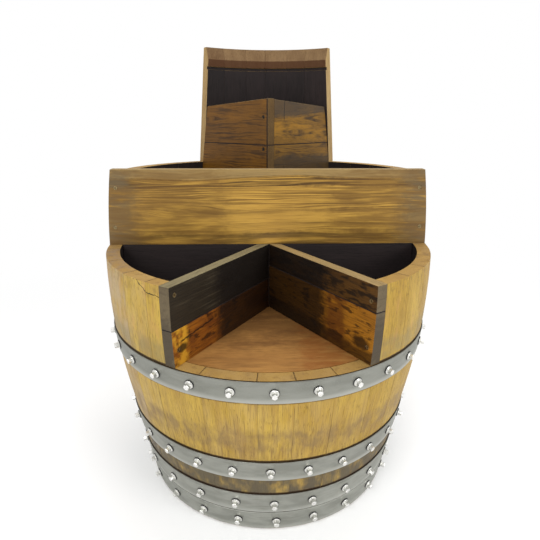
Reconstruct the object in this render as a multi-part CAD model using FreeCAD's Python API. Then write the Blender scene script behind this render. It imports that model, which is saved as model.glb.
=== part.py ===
"""Bar cabinet cut from a wine barrel: stepped staves, riveted hoops and three tiers for bottles.

The frame is the barrel's own: Z runs up its axis, the floor is z = 0 and the open front faces -Y.
An azimuth is counted in degrees from the front, positive towards +X. Lengths are millimetres.
Each piece is written to parts/NODE.step.
"""
import FreeCAD, Part
import math
import os

from FreeCAD import Vector

# The barrel: a shell of staves. Along a stave the outside is an arc round the bilge that runs out
# into two straight ends, and that line is turned about Z.
BARREL_HEIGHT = 950.0
BILGE_RADIUS = 346.5            # outside, half way up
HEAD_RADIUS = 282.5             # outside, at the stave ends
END_SLOPE = 1.31                # of the straight ends, as a share of the mean slope from bilge to end
STAVE_THICKNESS = 27.0
STAVE_END_THICKNESS = 13.0      # what the chime bevel leaves at the tip
CHIME_HEIGHT = 28.0             # bevel on the inside of each stave end
CROZE_FROM_END = 43.0           # groove that holds the head
CROZE_WIDTH = 7.0
CROZE_DEPTH = 5.0
FIRST_STAVE_AZIMUTH = -21.6
FRONT_STAVES = (16.7, 10.8, 12.1, 13.0)                     # widths in degrees, none of them alike
RIGHT_STAVES = (12.4, 11.6, 13.4, 15.2, 12.4, 12.9, 13.1, 11.7, 12.6)
BACK_STAVES = (12.2, 10.1, 11.9, 10.4, 12.1, 9.7)           # left at full height
LEFT_STAVES = (14.9, 12.6, 12.7, 12.1, 15.6, 15.3, 14.6, 11.2, 16.7)

# The steps sawn into the barrel. Each height counts from the step below it.
DECK_HEIGHT = 377.0             # floor of the front notch, where an ice bucket stands
NOTCH_PANEL_HEIGHT = 148.0
TIER_BOARD_HEIGHT = 160.0
TIER_BOARD_PROUD = 8.0          # of the tier board above the sawn staves behind it
PROW_RISE = 143.0               # of the prow's rim, at its corner, above the tier board's

# Boards that close the steps.
BOARD_THICKNESS = 22.0
TIER_BOARD_FRONT = 30.0         # front face of the tier board, this far in front of the axis
NOTCH_HALF_ANGLE = 32.0         # between each notch panel and the -Y direction
LEFT_NOTCH_LOWER_BOARD = 70.0   # height of the lower of the two boards in the panel
RIGHT_NOTCH_LOWER_BOARD = 100.0
PROW_SETBACK = 84.0             # corner of the prow, this far behind the axis
PROW_HALF_ANGLE = 45.0          # between each prow panel and the +Y direction
PROW_UPPER_BOARD = 100.5        # height of the prow's upper boards at the corner
PROW_RIM_FALL = 3.5             # degrees that the prow's rim falls away from the corner
FIT = 0.5                       # clearance of a board cut to the inside of the staves

# Floors and the cleats under them.
FLOOR_THICKNESS = 18.0
TIER_LIP = 115.0                # of the tier board above the middle tier's floor
TOP_LIP = 118.0                 # of the prow above the top tier's floor
DECK_BOARD_COUNT = 3
CLEAT_SIZE = 20.0
CLEAT_LENGTH = 60.0
DECK_CLEAT_COUNT = 6
TIER_CLEAT_AZIMUTHS = (-155.0, -115.0, 115.0, 155.0)
TIER_BATTEN_LENGTH = 360.0
PROW_BATTEN_REACH = 80.0        # of the prow's battens, measured along Y from their corner

# The barrel's own lower head.
HEAD_THICKNESS = 20.0
HEAD_RIM_THICKNESS = 6.0
HEAD_RIM_WIDTH = 24.0
HEAD_BOARD_COUNT = 5

# Hoops of strip steel, with a lap at the back.
HOOP_THICKNESS = 2.0
HOOP_GAP = 0.3                  # between a straight strip and the bulging staves
HOOP_LAP_ANGLE = 9.0
FOOT_HOOP_CLEARANCE = 3.0       # above the floor
FOOT_HOOP_WIDTH = 48.5
CHIME_HOOP_SPACING = 2.0        # above the foot hoop
CHIME_HOOP_WIDTH = 50.5
QUARTER_HOOP_SPACING = 41.0     # above the chime hoop
QUARTER_HOOP_WIDTH = 47.0
BILGE_HOOP_DROP = 1.0           # below the deck
BILGE_HOOP_WIDTH = 44.0
RIVET_RADIUS = 5.0
RIVET_HEIGHT = 2.5
RIVET_EDGE = 11.0               # from the edge of the hoop

# Hexagon screws on sealing washers, one row round each hoop.
WASHER_RADIUS = 9.0
WASHER_HEIGHT = 4.0
SCREW_ACROSS_FLATS = 9.5
SCREW_HEIGHT = 7.0              # above the washer
FOOT_HOOP_SCREW_COUNT = 24
FOOT_HOOP_SCREW_AZIMUTH = 1.5   # of the first screw
CHIME_HOOP_SCREW_COUNT = 25
CHIME_HOOP_SCREW_AZIMUTH = 0.6
QUARTER_HOOP_SCREW_COUNT = 28
QUARTER_HOOP_SCREW_AZIMUTH = -0.9
BILGE_HOOP_SCREW_COUNT = 29
BILGE_HOOP_SCREW_AZIMUTH = 0.0

# Screws sunk into the faces of the boards.
BOARD_SCREW_RADIUS = 4.0
BOARD_SCREW_DEPTH = 3.0
BOARD_SCREW_CLEARANCE = 0.3
TIER_SCREW_EDGE = 38.0          # from the upper and lower edges of the tier board
LEFT_NOTCH_SCREWS = (31.0, 132.0)       # above the deck
RIGHT_NOTCH_SCREWS = (31.0, 118.0)
PROW_SCREWS = (39.5, 109.5)     # below the prow's rim
PROW_SCREW_EDGE = 14.0          # from the prow's corner

SMALL_ROUND_SIDES = 12          # flats that stand for the round rim of a washer, rivet or screw

# Heights that follow from the steps.
DECK_TOP = DECK_HEIGHT
WELL_RIM = DECK_TOP + NOTCH_PANEL_HEIGHT
TIER_RIM = WELL_RIM + TIER_BOARD_HEIGHT
PROW_RIM = TIER_RIM + PROW_RISE
TIER_FLOOR_TOP = TIER_RIM - TIER_LIP
TOP_FLOOR_TOP = PROW_RIM - TOP_LIP
TIER_BOARD_BACK = BOARD_THICKNESS - TIER_BOARD_FRONT    # y value of its rear face
FAR = 2.0 * BARREL_HEIGHT       # reach of the bodies used only to cut


# ---------------------------------------------------------------- barrel form
def bend_angle():
    """Angle between a stave's straight end and the axis, which is what the arc turns through."""
    mean_slope = (BILGE_RADIUS - HEAD_RADIUS) / (BARREL_HEIGHT / 2.0)
    return math.atan(END_SLOPE * mean_slope)


def bend_radius():
    """Radius of the arc along a stave that runs out into straight ends of the head's radius."""
    return (END_SLOPE - 1.0) * (BILGE_RADIUS - HEAD_RADIUS) / (1.0 / math.cos(bend_angle()) - 1.0)


def bend_rise(inset):
    """Height above the bilge at which the arc, less inset, runs out into the straight end."""
    return (bend_radius() - inset) * math.sin(bend_angle())


def shell_radius(z, inset=0.0):
    """Radius at height z of the surface that lies inset inside the outside of the staves."""
    rise = abs(z - BARREL_HEIGHT / 2.0)
    bend = bend_radius() - inset
    if rise < bend_rise(inset):
        reach = math.sqrt(bend ** 2 - rise ** 2)
    else:
        reach = (bend - rise * math.sin(bend_angle())) / math.cos(bend_angle())
    return BILGE_RADIUS - bend_radius() + reach


def polar(radius, azimuth, z=0.0):
    """Point at a radius, an azimuth and a height."""
    turn = math.radians(azimuth)
    return Vector(radius * math.sin(turn), -radius * math.cos(turn), z)


def line(start, end):
    """Straight edge between two points."""
    return Part.LineSegment(start, end).toShape()


def shell_edges(z_start, z_end, inset, azimuth):
    """Edges along the barrel's line from one height to another, in order."""
    low, high = sorted((z_start, z_end))
    middle = BARREL_HEIGHT / 2.0
    bends = [middle - bend_rise(inset), middle + bend_rise(inset)]
    heights = [low] + [z for z in bends if low < z < high] + [high]
    edges = []
    for z_low, z_high in zip(heights, heights[1:]):
        stops = (z_low, (z_low + z_high) / 2.0, z_high)
        points = [polar(shell_radius(z, inset), azimuth, z) for z in stops]
        is_bent = bends[0] < stops[1] < bends[1]
        edges.append(Part.Arc(*points).toShape() if is_bent else line(points[0], points[2]))
    return edges if z_start < z_end else list(reversed(edges))


def turned(edges, angle):
    """Solid made by turning a closed section about Z."""
    face = Part.Face(Part.Wire(edges))
    return face.revolve(Vector(0, 0, 0), Vector(0, 0, 1), angle)


def barrel_core(inset, z_low, z_high):
    """Everything inside the barrel's curve, less inset, between two heights."""
    low = polar(shell_radius(z_low, inset), 0.0, z_low)
    high = polar(shell_radius(z_high, inset), 0.0, z_high)
    edges = [
        line(Vector(0, 0, z_low), low),
        *shell_edges(z_low, z_high, inset, 0.0),
        line(high, Vector(0, 0, z_high)),
        line(Vector(0, 0, z_high), Vector(0, 0, z_low)),
    ]
    return turned(edges, 360.0)


def prism(corners, z_low, z_high):
    """Upright prism over a polygon of (x, y) corners."""
    points = [Vector(x, y, z_low) for x, y in corners]
    wire = Part.makePolygon(points + points[:1])
    return Part.Face(wire).extrude(Vector(0, 0, z_high - z_low))


def plan_box(x_low, x_high, y_low, y_high, z_low, z_high):
    """Upright box between six faces."""
    return prism(((x_low, y_low), (x_high, y_low), (x_high, y_high), (x_low, y_high)), z_low, z_high)


# ---------------------------------------------------------------- the cuts in the barrel
def wedge(corner_y, half_angle, direction, z_low, z_high):
    """Prism over a triangle that opens from (0, corner_y) towards direction * Y."""
    reach_x = FAR * math.tan(math.radians(half_angle))
    corners = ((0.0, corner_y), (reach_x, corner_y + direction * FAR), (-reach_x, corner_y + direction * FAR))
    return prism(corners, z_low, z_high)


def notch_space(z_low, z_high, offset=0.0):
    """The wedge between the notch panels, grown by offset square to each panel."""
    corner_y = -TIER_BOARD_FRONT + offset / math.sin(math.radians(NOTCH_HALF_ANGLE))
    return wedge(corner_y, NOTCH_HALF_ANGLE, -1.0, z_low, z_high)


def prow_space(z_low, z_high, offset=0.0):
    """The wedge behind the prow's outer faces, shrunk by offset square to each face."""
    corner_y = PROW_SETBACK + offset / math.sin(math.radians(PROW_HALF_ANGLE))
    return wedge(corner_y, PROW_HALF_ANGLE, 1.0, z_low, z_high)


def in_front_of(y_limit, z_low, z_high):
    """Half space in front of a y value, between two heights."""
    return plan_box(-FAR, FAR, -FAR, y_limit, z_low, z_high)


def waste():
    """All that is sawn off the staves in front of the back ones: the notch, the wells and the middle tier."""
    top = BARREL_HEIGHT + CHIME_HEIGHT
    notch = notch_space(DECK_TOP, top, BOARD_THICKNESS)
    front = in_front_of(TIER_BOARD_BACK, WELL_RIM, top)
    round_middle = plan_box(-FAR, FAR, -FAR, FAR, TIER_RIM - TIER_BOARD_PROUD, top)
    return notch.fuse(front).fuse(round_middle)


# ---------------------------------------------------------------- staves and head
def croze_edges(z_from, z_to, azimuth):
    """Three edges of the croze groove, followed from one height to the other."""
    floor_radius = max(shell_radius(z, STAVE_THICKNESS) for z in (z_from, z_to)) + CROZE_DEPTH
    corners = (
        polar(shell_radius(z_from, STAVE_THICKNESS), azimuth, z_from),
        polar(floor_radius, azimuth, z_from),
        polar(floor_radius, azimuth, z_to),
        polar(shell_radius(z_to, STAVE_THICKNESS), azimuth, z_to),
    )
    return [line(a, b) for a, b in zip(corners, corners[1:])]


def stave_blank(azimuth, width):
    """One whole stave, bent, bevelled and grooved at both ends."""
    ends = (0.0, BARREL_HEIGHT)
    tips = [polar(HEAD_RADIUS - STAVE_END_THICKNESS, azimuth, z) for z in ends]
    corners = [polar(HEAD_RADIUS, azimuth, z) for z in ends]
    bevels = (CHIME_HEIGHT, BARREL_HEIGHT - CHIME_HEIGHT)
    bevel_points = [polar(shell_radius(z, STAVE_THICKNESS), azimuth, z) for z in bevels]
    low_groove = (CROZE_FROM_END, CROZE_FROM_END + CROZE_WIDTH)
    high_groove = (BARREL_HEIGHT - low_groove[1], BARREL_HEIGHT - low_groove[0])
    edges = [
        *shell_edges(ends[0], ends[1], 0.0, azimuth),
        line(corners[1], tips[1]),
        line(tips[1], bevel_points[1]),
        *shell_edges(bevels[1], high_groove[1], STAVE_THICKNESS, azimuth),
        *croze_edges(high_groove[1], high_groove[0], azimuth),
        *shell_edges(high_groove[0], low_groove[1], STAVE_THICKNESS, azimuth),
        *croze_edges(low_groove[1], low_groove[0], azimuth),
        *shell_edges(low_groove[0], bevels[0], STAVE_THICKNESS, azimuth),
        line(bevel_points[0], tips[0]),
        line(tips[0], corners[0]),
    ]
    return turned(edges, width)


def staves():
    """Every stave of the barrel, the back ones whole and the others cut down to their step."""
    cut_away = waste()
    before_back = len(FRONT_STAVES + RIGHT_STAVES)
    widths = FRONT_STAVES + RIGHT_STAVES + BACK_STAVES + LEFT_STAVES
    azimuth = FIRST_STAVE_AZIMUTH
    pieces = {}
    for index, share in enumerate(widths):
        width = 360.0 * share / sum(widths)
        stave = stave_blank(azimuth, width)
        is_back = before_back <= index < before_back + len(BACK_STAVES)
        pieces[f"stave_{index + 1:02d}"] = stave if is_back else stave.cut(cut_away)
        azimuth += width
    return pieces


def lower_head():
    """Boards of the lower head: a disc with a thin rim that sits in the croze."""
    rim_middle = CROZE_FROM_END + CROZE_WIDTH / 2.0
    rim_low = rim_middle - HEAD_RIM_THICKNESS / 2.0
    rim_high = rim_middle + HEAD_RIM_THICKNESS / 2.0
    mouth_radius = shell_radius(CROZE_FROM_END, STAVE_THICKNESS) - FIT
    rim_radius = mouth_radius + CROZE_DEPTH
    flat_radius = rim_radius - HEAD_RIM_WIDTH
    outline = (
        Vector(0, 0, rim_low),
        polar(rim_radius, 0.0, rim_low),
        polar(rim_radius, 0.0, rim_high),
        polar(mouth_radius, 0.0, rim_high),
        polar(flat_radius, 0.0, rim_low + HEAD_THICKNESS),
        Vector(0, 0, rim_low + HEAD_THICKNESS),
    )
    edges = [line(a, b) for a, b in zip(outline, outline[1:] + outline[:1])]
    return ripped(turned(edges, 360.0), HEAD_BOARD_COUNT, rim_radius)


def ripped(disc, count, radius):
    """A disc of a given radius as boards of one width, laid edge to edge along X."""
    seams = [radius * (2.0 * index / count - 1.0) for index in range(1, count)]
    stops = [-FAR] + seams + [FAR]
    boxes = [plan_box(-FAR, FAR, low, high, 0.0, BARREL_HEIGHT) for low, high in zip(stops, stops[1:])]
    return Part.makeCompound([disc.common(box) for box in boxes])


# ---------------------------------------------------------------- boards and floors
def inside(z_low, z_high):
    """The room inside the staves, less the fit of a board."""
    return barrel_core(STAVE_THICKNESS + FIT, z_low, z_high)


def deck():
    """Deck boards level with the cut tops of the front staves."""
    low = DECK_TOP - FLOOR_THICKNESS
    radius = shell_radius(DECK_TOP, STAVE_THICKNESS + FIT)
    return ripped(inside(low, DECK_TOP), DECK_BOARD_COUNT, radius)


def side_of(sign, z_low, z_high):
    """Half space at one side of the middle plane."""
    x_low, x_high = sorted((0.0, sign * FAR))
    return plan_box(x_low, x_high, -FAR, FAR, z_low, z_high)


def notch_panel(sign, z_low, z_high):
    """One board of a notch panel: it ends on the tier board's plane and flush with the staves."""
    plank = notch_space(z_low, z_high, BOARD_THICKNESS).cut(notch_space(z_low, z_high))
    plank = plank.common(side_of(sign, z_low, z_high))
    plank = plank.common(in_front_of(-TIER_BOARD_FRONT, z_low, z_high))
    return plank.common(barrel_core(0.0, z_low, z_high))


def notch_panels():
    """Two boards on each side of the notch."""
    sides = (("left", -1.0, LEFT_NOTCH_LOWER_BOARD), ("right", 1.0, RIGHT_NOTCH_LOWER_BOARD))
    pieces = {}
    for side, sign, lower in sides:
        split = DECK_TOP + lower
        pieces[f"notch_lower_board_{side}"] = notch_panel(sign, DECK_TOP, split)
        pieces[f"notch_upper_board_{side}"] = notch_panel(sign, split, WELL_RIM)
    return pieces


def cross_board(room):
    """The part of a room that lies in the tier board's thickness."""
    slab = plan_box(-FAR, FAR, -TIER_BOARD_FRONT, TIER_BOARD_BACK, 0.0, BARREL_HEIGHT)
    return room.common(slab)


def well_floor(sign):
    """Floor board of one lower bottle well."""
    high = DECK_TOP + FLOOR_THICKNESS
    board = inside(DECK_TOP, high).common(in_front_of(-TIER_BOARD_FRONT - FIT, DECK_TOP, high))
    board = board.cut(notch_space(DECK_TOP, high, BOARD_THICKNESS + FIT))
    return board.common(side_of(sign, DECK_TOP, high))


def tier_floor():
    """Floor of the middle tier, from the tier board to the back staves."""
    low = TIER_FLOOR_TOP - FLOOR_THICKNESS
    return inside(low, TIER_FLOOR_TOP).cut(in_front_of(TIER_BOARD_BACK, low, TIER_FLOOR_TOP))


def top_floor():
    """Floor of the top tier, inside the prow."""
    low = TOP_FLOOR_TOP - FLOOR_THICKNESS
    return inside(low, TOP_FLOOR_TOP).common(prow_space(low, TOP_FLOOR_TOP, BOARD_THICKNESS + FIT))


def prow_directions(sign):
    """Unit vectors along a prow panel from the corner, and square to it into the top tier."""
    half = math.radians(PROW_HALF_ANGLE)
    along = Vector(sign * math.sin(half), math.cos(half), 0.0)
    inward = Vector(-sign * math.cos(half), math.sin(half), 0.0)
    return along, inward


def prow_plank(sign, z_low, z_high):
    """A prow board on one side, run through to the corner."""
    along, inward = prow_directions(sign)
    corner = Vector(0.0, PROW_SETBACK, 0.0)
    outside = (corner - along * FAR, corner + along * FAR)
    points = outside + tuple(point + inward * BOARD_THICKNESS for point in reversed(outside))
    plank = prism([(point.x, point.y) for point in points], z_low, z_high)
    return plank.common(prow_space(z_low, z_high)).common(inside(z_low, z_high))


def above_prow_rim(sign):
    """What the fall of the rim takes off a panel: a wedge that grows away from the corner."""
    along, inward = prow_directions(sign)
    corner = Vector(0.0, PROW_SETBACK, PROW_RIM) - inward * BOARD_THICKNESS
    far_end = corner + along * FAR
    drop = Vector(0.0, 0.0, FAR * math.tan(math.radians(PROW_RIM_FALL)))
    triangle = [corner, far_end - drop, far_end + drop]
    return Part.Face(Part.makePolygon(triangle + triangle[:1])).extrude(inward * (3.0 * BOARD_THICKNESS))


def prow_panels():
    """Two boards on each side: the left pair runs to the corner and covers the right pair's ends."""
    split = PROW_RIM - PROW_UPPER_BOARD
    pieces = {}
    for level, low, high in (("lower", TIER_FLOOR_TOP, split), ("upper", split, PROW_RIM)):
        left, right = prow_plank(-1.0, low, high), prow_plank(1.0, low, high)
        pieces[f"prow_{level}_board_left"] = left.cut(above_prow_rim(-1.0))
        pieces[f"prow_{level}_board_right"] = right.cut(left).cut(above_prow_rim(1.0))
    return pieces


def stave_cleat(azimuth, floor_top):
    """Block on the inside of the staves, under a floor."""
    high = floor_top - FLOOR_THICKNESS
    low = high - CLEAT_SIZE
    inner = shell_radius(low, STAVE_THICKNESS + FIT) - CLEAT_SIZE
    block = plan_box(-CLEAT_LENGTH / 2.0, CLEAT_LENGTH / 2.0, -FAR, -inner, low, high)
    block = block.common(inside(low, high))
    block.rotate(Vector(0, 0, 0), Vector(0, 0, 1), azimuth)
    return block


def deck_cleats():
    """Ring of blocks that carries the deck."""
    azimuths = [360.0 * (index + 0.5) / DECK_CLEAT_COUNT for index in range(DECK_CLEAT_COUNT)]
    return Part.makeCompound([stave_cleat(azimuth, DECK_TOP) for azimuth in azimuths])


def tier_cleats():
    """A batten behind the tier board and blocks on the staves, under the middle tier's floor."""
    high = TIER_FLOOR_TOP - FLOOR_THICKNESS
    low = high - CLEAT_SIZE
    reach = TIER_BATTEN_LENGTH / 2.0
    batten = plan_box(-reach, reach, TIER_BOARD_BACK, TIER_BOARD_BACK + CLEAT_SIZE, low, high)
    blocks = [stave_cleat(azimuth, TIER_FLOOR_TOP) for azimuth in TIER_CLEAT_AZIMUTHS]
    return Part.makeCompound([batten] + blocks)


def top_cleats():
    """Mitred battens on the inner faces of the prow, and a block on the back staves."""
    high = TOP_FLOOR_TOP - FLOOR_THICKNESS
    low = high - CLEAT_SIZE
    strip = prow_space(low, high, BOARD_THICKNESS).cut(prow_space(low, high, BOARD_THICKNESS + CLEAT_SIZE))
    corner_y = PROW_SETBACK + BOARD_THICKNESS / math.sin(math.radians(PROW_HALF_ANGLE))
    strip = strip.common(in_front_of(corner_y + PROW_BATTEN_REACH, low, high))
    battens = [strip.common(side_of(sign, low, high)) for sign in (-1.0, 1.0)]
    return Part.makeCompound(battens + [stave_cleat(180.0, TOP_FLOOR_TOP)])


# ---------------------------------------------------------------- screws in the boards
def tier_screw_spots():
    """Seats of the screws through the tier board into the cut edges of the staves behind it."""
    spots = []
    for z in (WELL_RIM + TIER_SCREW_EDGE, TIER_RIM - TIER_SCREW_EDGE):
        reach = math.sqrt(shell_radius(z, STAVE_THICKNESS / 2.0) ** 2 - TIER_BOARD_FRONT ** 2)
        spots += [(Vector(sign * reach, -TIER_BOARD_FRONT, z), Vector(0, 1, 0)) for sign in (-1.0, 1.0)]
    return spots


def notch_screw_spots():
    """Seats of the screws through the notch panels into the cut edges of the staves beside them."""
    half = math.radians(NOTCH_HALF_ANGLE)
    spots = []
    for sign, heights in ((-1.0, LEFT_NOTCH_SCREWS), (1.0, RIGHT_NOTCH_SCREWS)):
        along = Vector(sign * math.sin(half), -math.cos(half), 0.0)
        into = Vector(sign * math.cos(half), math.sin(half), 0.0)
        for height in heights:
            z = DECK_TOP + height
            radius = shell_radius(z, STAVE_THICKNESS / 2.0)
            off_axis = TIER_BOARD_FRONT * math.sin(half)
            reach = math.sqrt(radius ** 2 - off_axis ** 2) - TIER_BOARD_FRONT * math.cos(half)
            spots.append((Vector(0.0, -TIER_BOARD_FRONT, z) + along * reach, into))
    return spots


def prow_screw_spots():
    """Seats of the screws through the left prow boards into the ends of the right ones."""
    along, inward = prow_directions(-1.0)
    foot = Vector(0.0, PROW_SETBACK, PROW_RIM) + along * PROW_SCREW_EDGE
    return [(foot - Vector(0.0, 0.0, drop), inward) for drop in PROW_SCREWS]


def sunk_disc(spot, radius):
    """Disc that reaches from a board's face to the depth of a screw head."""
    point, into = spot
    return polygon_disc((point, into, Vector(0, 0, 1)), SMALL_ROUND_SIDES, radius, BOARD_SCREW_DEPTH)


def board_screws():
    """The heads of all the board screws, flush with the boards."""
    spots = tier_screw_spots() + notch_screw_spots() + prow_screw_spots()
    return Part.makeCompound([sunk_disc(spot, BOARD_SCREW_RADIUS) for spot in spots])


def sunk(board, spots):
    """A board with a seat for each screw that lies in it."""
    for spot in spots:
        board = board.cut(sunk_disc(spot, BOARD_SCREW_RADIUS + BOARD_SCREW_CLEARANCE))
    return board


# ---------------------------------------------------------------- hoops and their fasteners
class Hoop:
    """One hoop's place on the barrel and its row of screws."""

    def __init__(self, name, z_low, width, screw_count, first_screw):
        self.name = name
        self.z_low = z_low
        self.z_high = z_low + width
        self.screw_count = screw_count
        self.first_screw = first_screw

    def screw_azimuths(self):
        """Azimuth of each screw in the row."""
        return [self.first_screw + 360.0 * index / self.screw_count for index in range(self.screw_count)]

    def lap_azimuth(self):
        """Azimuth of the lap's middle: at the back, half way between two screws."""
        pitch = 360.0 / self.screw_count
        return self.first_screw + (math.floor((180.0 - self.first_screw) / pitch) + 0.5) * pitch

    def seat(self, azimuth):
        """Point on the hoop's outside half way up it, with the directions outward and up the strip."""
        low = polar(shell_radius(self.z_low), azimuth, self.z_low)
        high = polar(shell_radius(self.z_high), azimuth, self.z_high)
        upward = (high - low).normalize()
        outward = polar(1.0, azimuth + 90.0).cross(upward)
        radial = polar(HOOP_GAP + HOOP_THICKNESS, azimuth)
        return (low + high) * 0.5 + radial, outward, upward

    def strip(self, gap, azimuth, angle):
        """Strip bent to the barrel, gap outside the staves."""
        inside = [polar(shell_radius(z) + gap, azimuth, z) for z in (self.z_low, self.z_high)]
        outside = [point + polar(HOOP_THICKNESS, azimuth) for point in reversed(inside)]
        corners = inside + outside
        edges = [line(a, b) for a, b in zip(corners, corners[1:] + corners[:1])]
        return turned(edges, angle)

    def band(self):
        """The closed hoop, its end lapped over its start."""
        ring = self.strip(HOOP_GAP, 0.0, 360.0)
        lap = self.strip(HOOP_GAP + HOOP_THICKNESS, self.lap_azimuth() - HOOP_LAP_ANGLE / 2.0, HOOP_LAP_ANGLE)
        return ring.fuse(lap).removeSplitter()

    def washers(self):
        """Sealing washers of the row, seated on the hoop."""
        return [polygon_disc(self.seat(azimuth), SMALL_ROUND_SIDES, WASHER_RADIUS, WASHER_HEIGHT)
                for azimuth in self.screw_azimuths()]

    def screws(self):
        """Hexagon heads of the row, seated on the washers."""
        corner_radius = SCREW_ACROSS_FLATS / math.sqrt(3.0)
        heads = []
        for azimuth in self.screw_azimuths():
            point, outward, upward = self.seat(azimuth)
            seat = (point + outward * WASHER_HEIGHT, outward, upward)
            heads.append(polygon_disc(seat, 6, corner_radius, SCREW_HEIGHT))
        return heads

    def rivets(self):
        """The two rivet heads on the lap."""
        point, outward, upward = self.seat(self.lap_azimuth())
        on_lap = point + polar(HOOP_THICKNESS, self.lap_azimuth())
        reach = (self.z_high - self.z_low) / 2.0 - RIVET_EDGE
        seats = [(on_lap + upward * (sign * reach), outward, upward) for sign in (-1.0, 1.0)]
        return [polygon_disc(seat, SMALL_ROUND_SIDES, RIVET_RADIUS, RIVET_HEIGHT) for seat in seats]


def polygon_disc(seat, sides, radius, height):
    """Regular prism that stands on a seat given as (centre, outward, upward)."""
    centre, outward, upward = seat
    sideways = upward.cross(outward)
    points = []
    for corner in range(sides):
        turn = 2.0 * math.pi * corner / sides
        points.append(centre + sideways * (radius * math.cos(turn)) + upward * (radius * math.sin(turn)))
    return Part.Face(Part.makePolygon(points + points[:1])).extrude(outward * height)


def hoops():
    """The four hoops, from the floor up."""
    foot = Hoop("foot_hoop", FOOT_HOOP_CLEARANCE, FOOT_HOOP_WIDTH, FOOT_HOOP_SCREW_COUNT,
                FOOT_HOOP_SCREW_AZIMUTH)
    chime = Hoop("chime_hoop", foot.z_high + CHIME_HOOP_SPACING, CHIME_HOOP_WIDTH, CHIME_HOOP_SCREW_COUNT,
                 CHIME_HOOP_SCREW_AZIMUTH)
    quarter_low = chime.z_high + QUARTER_HOOP_SPACING
    quarter = Hoop("quarter_hoop", quarter_low, QUARTER_HOOP_WIDTH, QUARTER_HOOP_SCREW_COUNT,
                   QUARTER_HOOP_SCREW_AZIMUTH)
    bilge_low = DECK_TOP - BILGE_HOOP_DROP - BILGE_HOOP_WIDTH
    bilge = Hoop("bilge_hoop", bilge_low, BILGE_HOOP_WIDTH, BILGE_HOOP_SCREW_COUNT,
                 BILGE_HOOP_SCREW_AZIMUTH)
    return (foot, chime, quarter, bilge)


# ---------------------------------------------------------------- assembly
def boards():
    """The boards that close the steps, with seats for their screws."""
    pieces = {name: sunk(board, notch_screw_spots()) for name, board in notch_panels().items()}
    pieces["well_back_board"] = cross_board(inside(DECK_TOP, WELL_RIM))
    pieces["tier_board"] = sunk(cross_board(barrel_core(0.0, WELL_RIM, TIER_RIM)), tier_screw_spots())
    pieces.update({name: sunk(board, prow_screw_spots()) for name, board in prow_panels().items()})
    return pieces


def build():
    """All the pieces by node name."""
    pieces = staves()
    pieces["lower_head_boards"] = lower_head()
    pieces["deck_boards"] = deck()
    pieces["deck_cleats"] = deck_cleats()
    pieces.update(boards())
    pieces["well_floor_left"] = well_floor(-1.0)
    pieces["well_floor_right"] = well_floor(1.0)
    pieces["tier_floor"] = tier_floor()
    pieces["tier_floor_cleats"] = tier_cleats()
    pieces["top_floor"] = top_floor()
    pieces["top_floor_cleats"] = top_cleats()
    pieces["board_screws"] = board_screws()
    rows = hoops()
    for hoop in rows:
        pieces[hoop.name] = hoop.band()
        pieces[f"{hoop.name}_screws"] = Part.makeCompound(hoop.screws())
    pieces["hoop_screw_washers"] = Part.makeCompound([washer for hoop in rows for washer in hoop.washers()])
    pieces["hoop_rivets"] = Part.makeCompound([rivet for hoop in rows for rivet in hoop.rivets()])
    return pieces


def main():
    """Write every piece to its own STEP file."""
    os.makedirs("parts", exist_ok=True)
    for name, shape in build().items():
        shape.exportStep(f"parts/{name}.step")


main()
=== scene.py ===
"""Visual model of a bar cabinet cut from a wine barrel, dressed round its packed construction.

The classes hold real sizes in millimetres, and the scene is in metres. The frame is the barrel's
own: Z runs up its axis, the floor is z = 0 and the open front faces -Y. An azimuth is counted in
degrees from the front, positive towards +X.
"""

import logging
import math
import random
from collections.abc import Callable, Iterable, Sequence
from dataclasses import dataclass, field
from enum import Enum
from functools import cached_property, partial
from typing import ClassVar

import bmesh
import bpy
from mathutils import Matrix, Vector, noise


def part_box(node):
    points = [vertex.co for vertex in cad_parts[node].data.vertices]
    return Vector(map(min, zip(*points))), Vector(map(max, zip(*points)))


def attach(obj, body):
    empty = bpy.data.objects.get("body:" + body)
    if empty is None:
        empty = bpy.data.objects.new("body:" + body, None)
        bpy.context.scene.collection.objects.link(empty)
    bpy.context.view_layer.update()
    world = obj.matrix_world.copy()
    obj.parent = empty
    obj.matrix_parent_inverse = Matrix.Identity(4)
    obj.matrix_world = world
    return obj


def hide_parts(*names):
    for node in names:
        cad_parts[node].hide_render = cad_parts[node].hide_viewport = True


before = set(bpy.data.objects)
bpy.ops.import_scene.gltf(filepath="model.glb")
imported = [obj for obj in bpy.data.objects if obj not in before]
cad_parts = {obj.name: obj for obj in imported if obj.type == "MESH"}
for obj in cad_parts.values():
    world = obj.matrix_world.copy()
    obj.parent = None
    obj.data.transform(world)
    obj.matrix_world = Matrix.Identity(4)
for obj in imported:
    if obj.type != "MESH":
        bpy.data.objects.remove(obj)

LOG = logging.getLogger("barrel_bar")
MM = 0.001
ROOT = "root"
WHITE = (1.0, 1.0, 1.0, 1.0)
UP = Vector((0.0, 0.0, 1.0))
# A rounding's middle lies this share of its radius inside the corner that it rounds.
ROUNDING = 0.29
Outline = Sequence[tuple[float, float]]


# ---------------------------------------------------------------- shader nodes
def linear(colour: str) -> tuple[float, float, float, float]:
    """Turn an sRGB hex colour into the linear values that a shader takes.

    Args:
        colour: Colour as #rrggbb.

    Returns:
        Linear red, green, blue and an alpha of one.
    """
    channels = [int(colour[start:start + 2], 16) / 255 for start in (1, 3, 5)]
    curve = [c / 12.92 if c <= 0.04045 else ((c + 0.055) / 1.055) ** 2.4 for c in channels]
    return (curve[0], curve[1], curve[2], 1.0)


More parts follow.
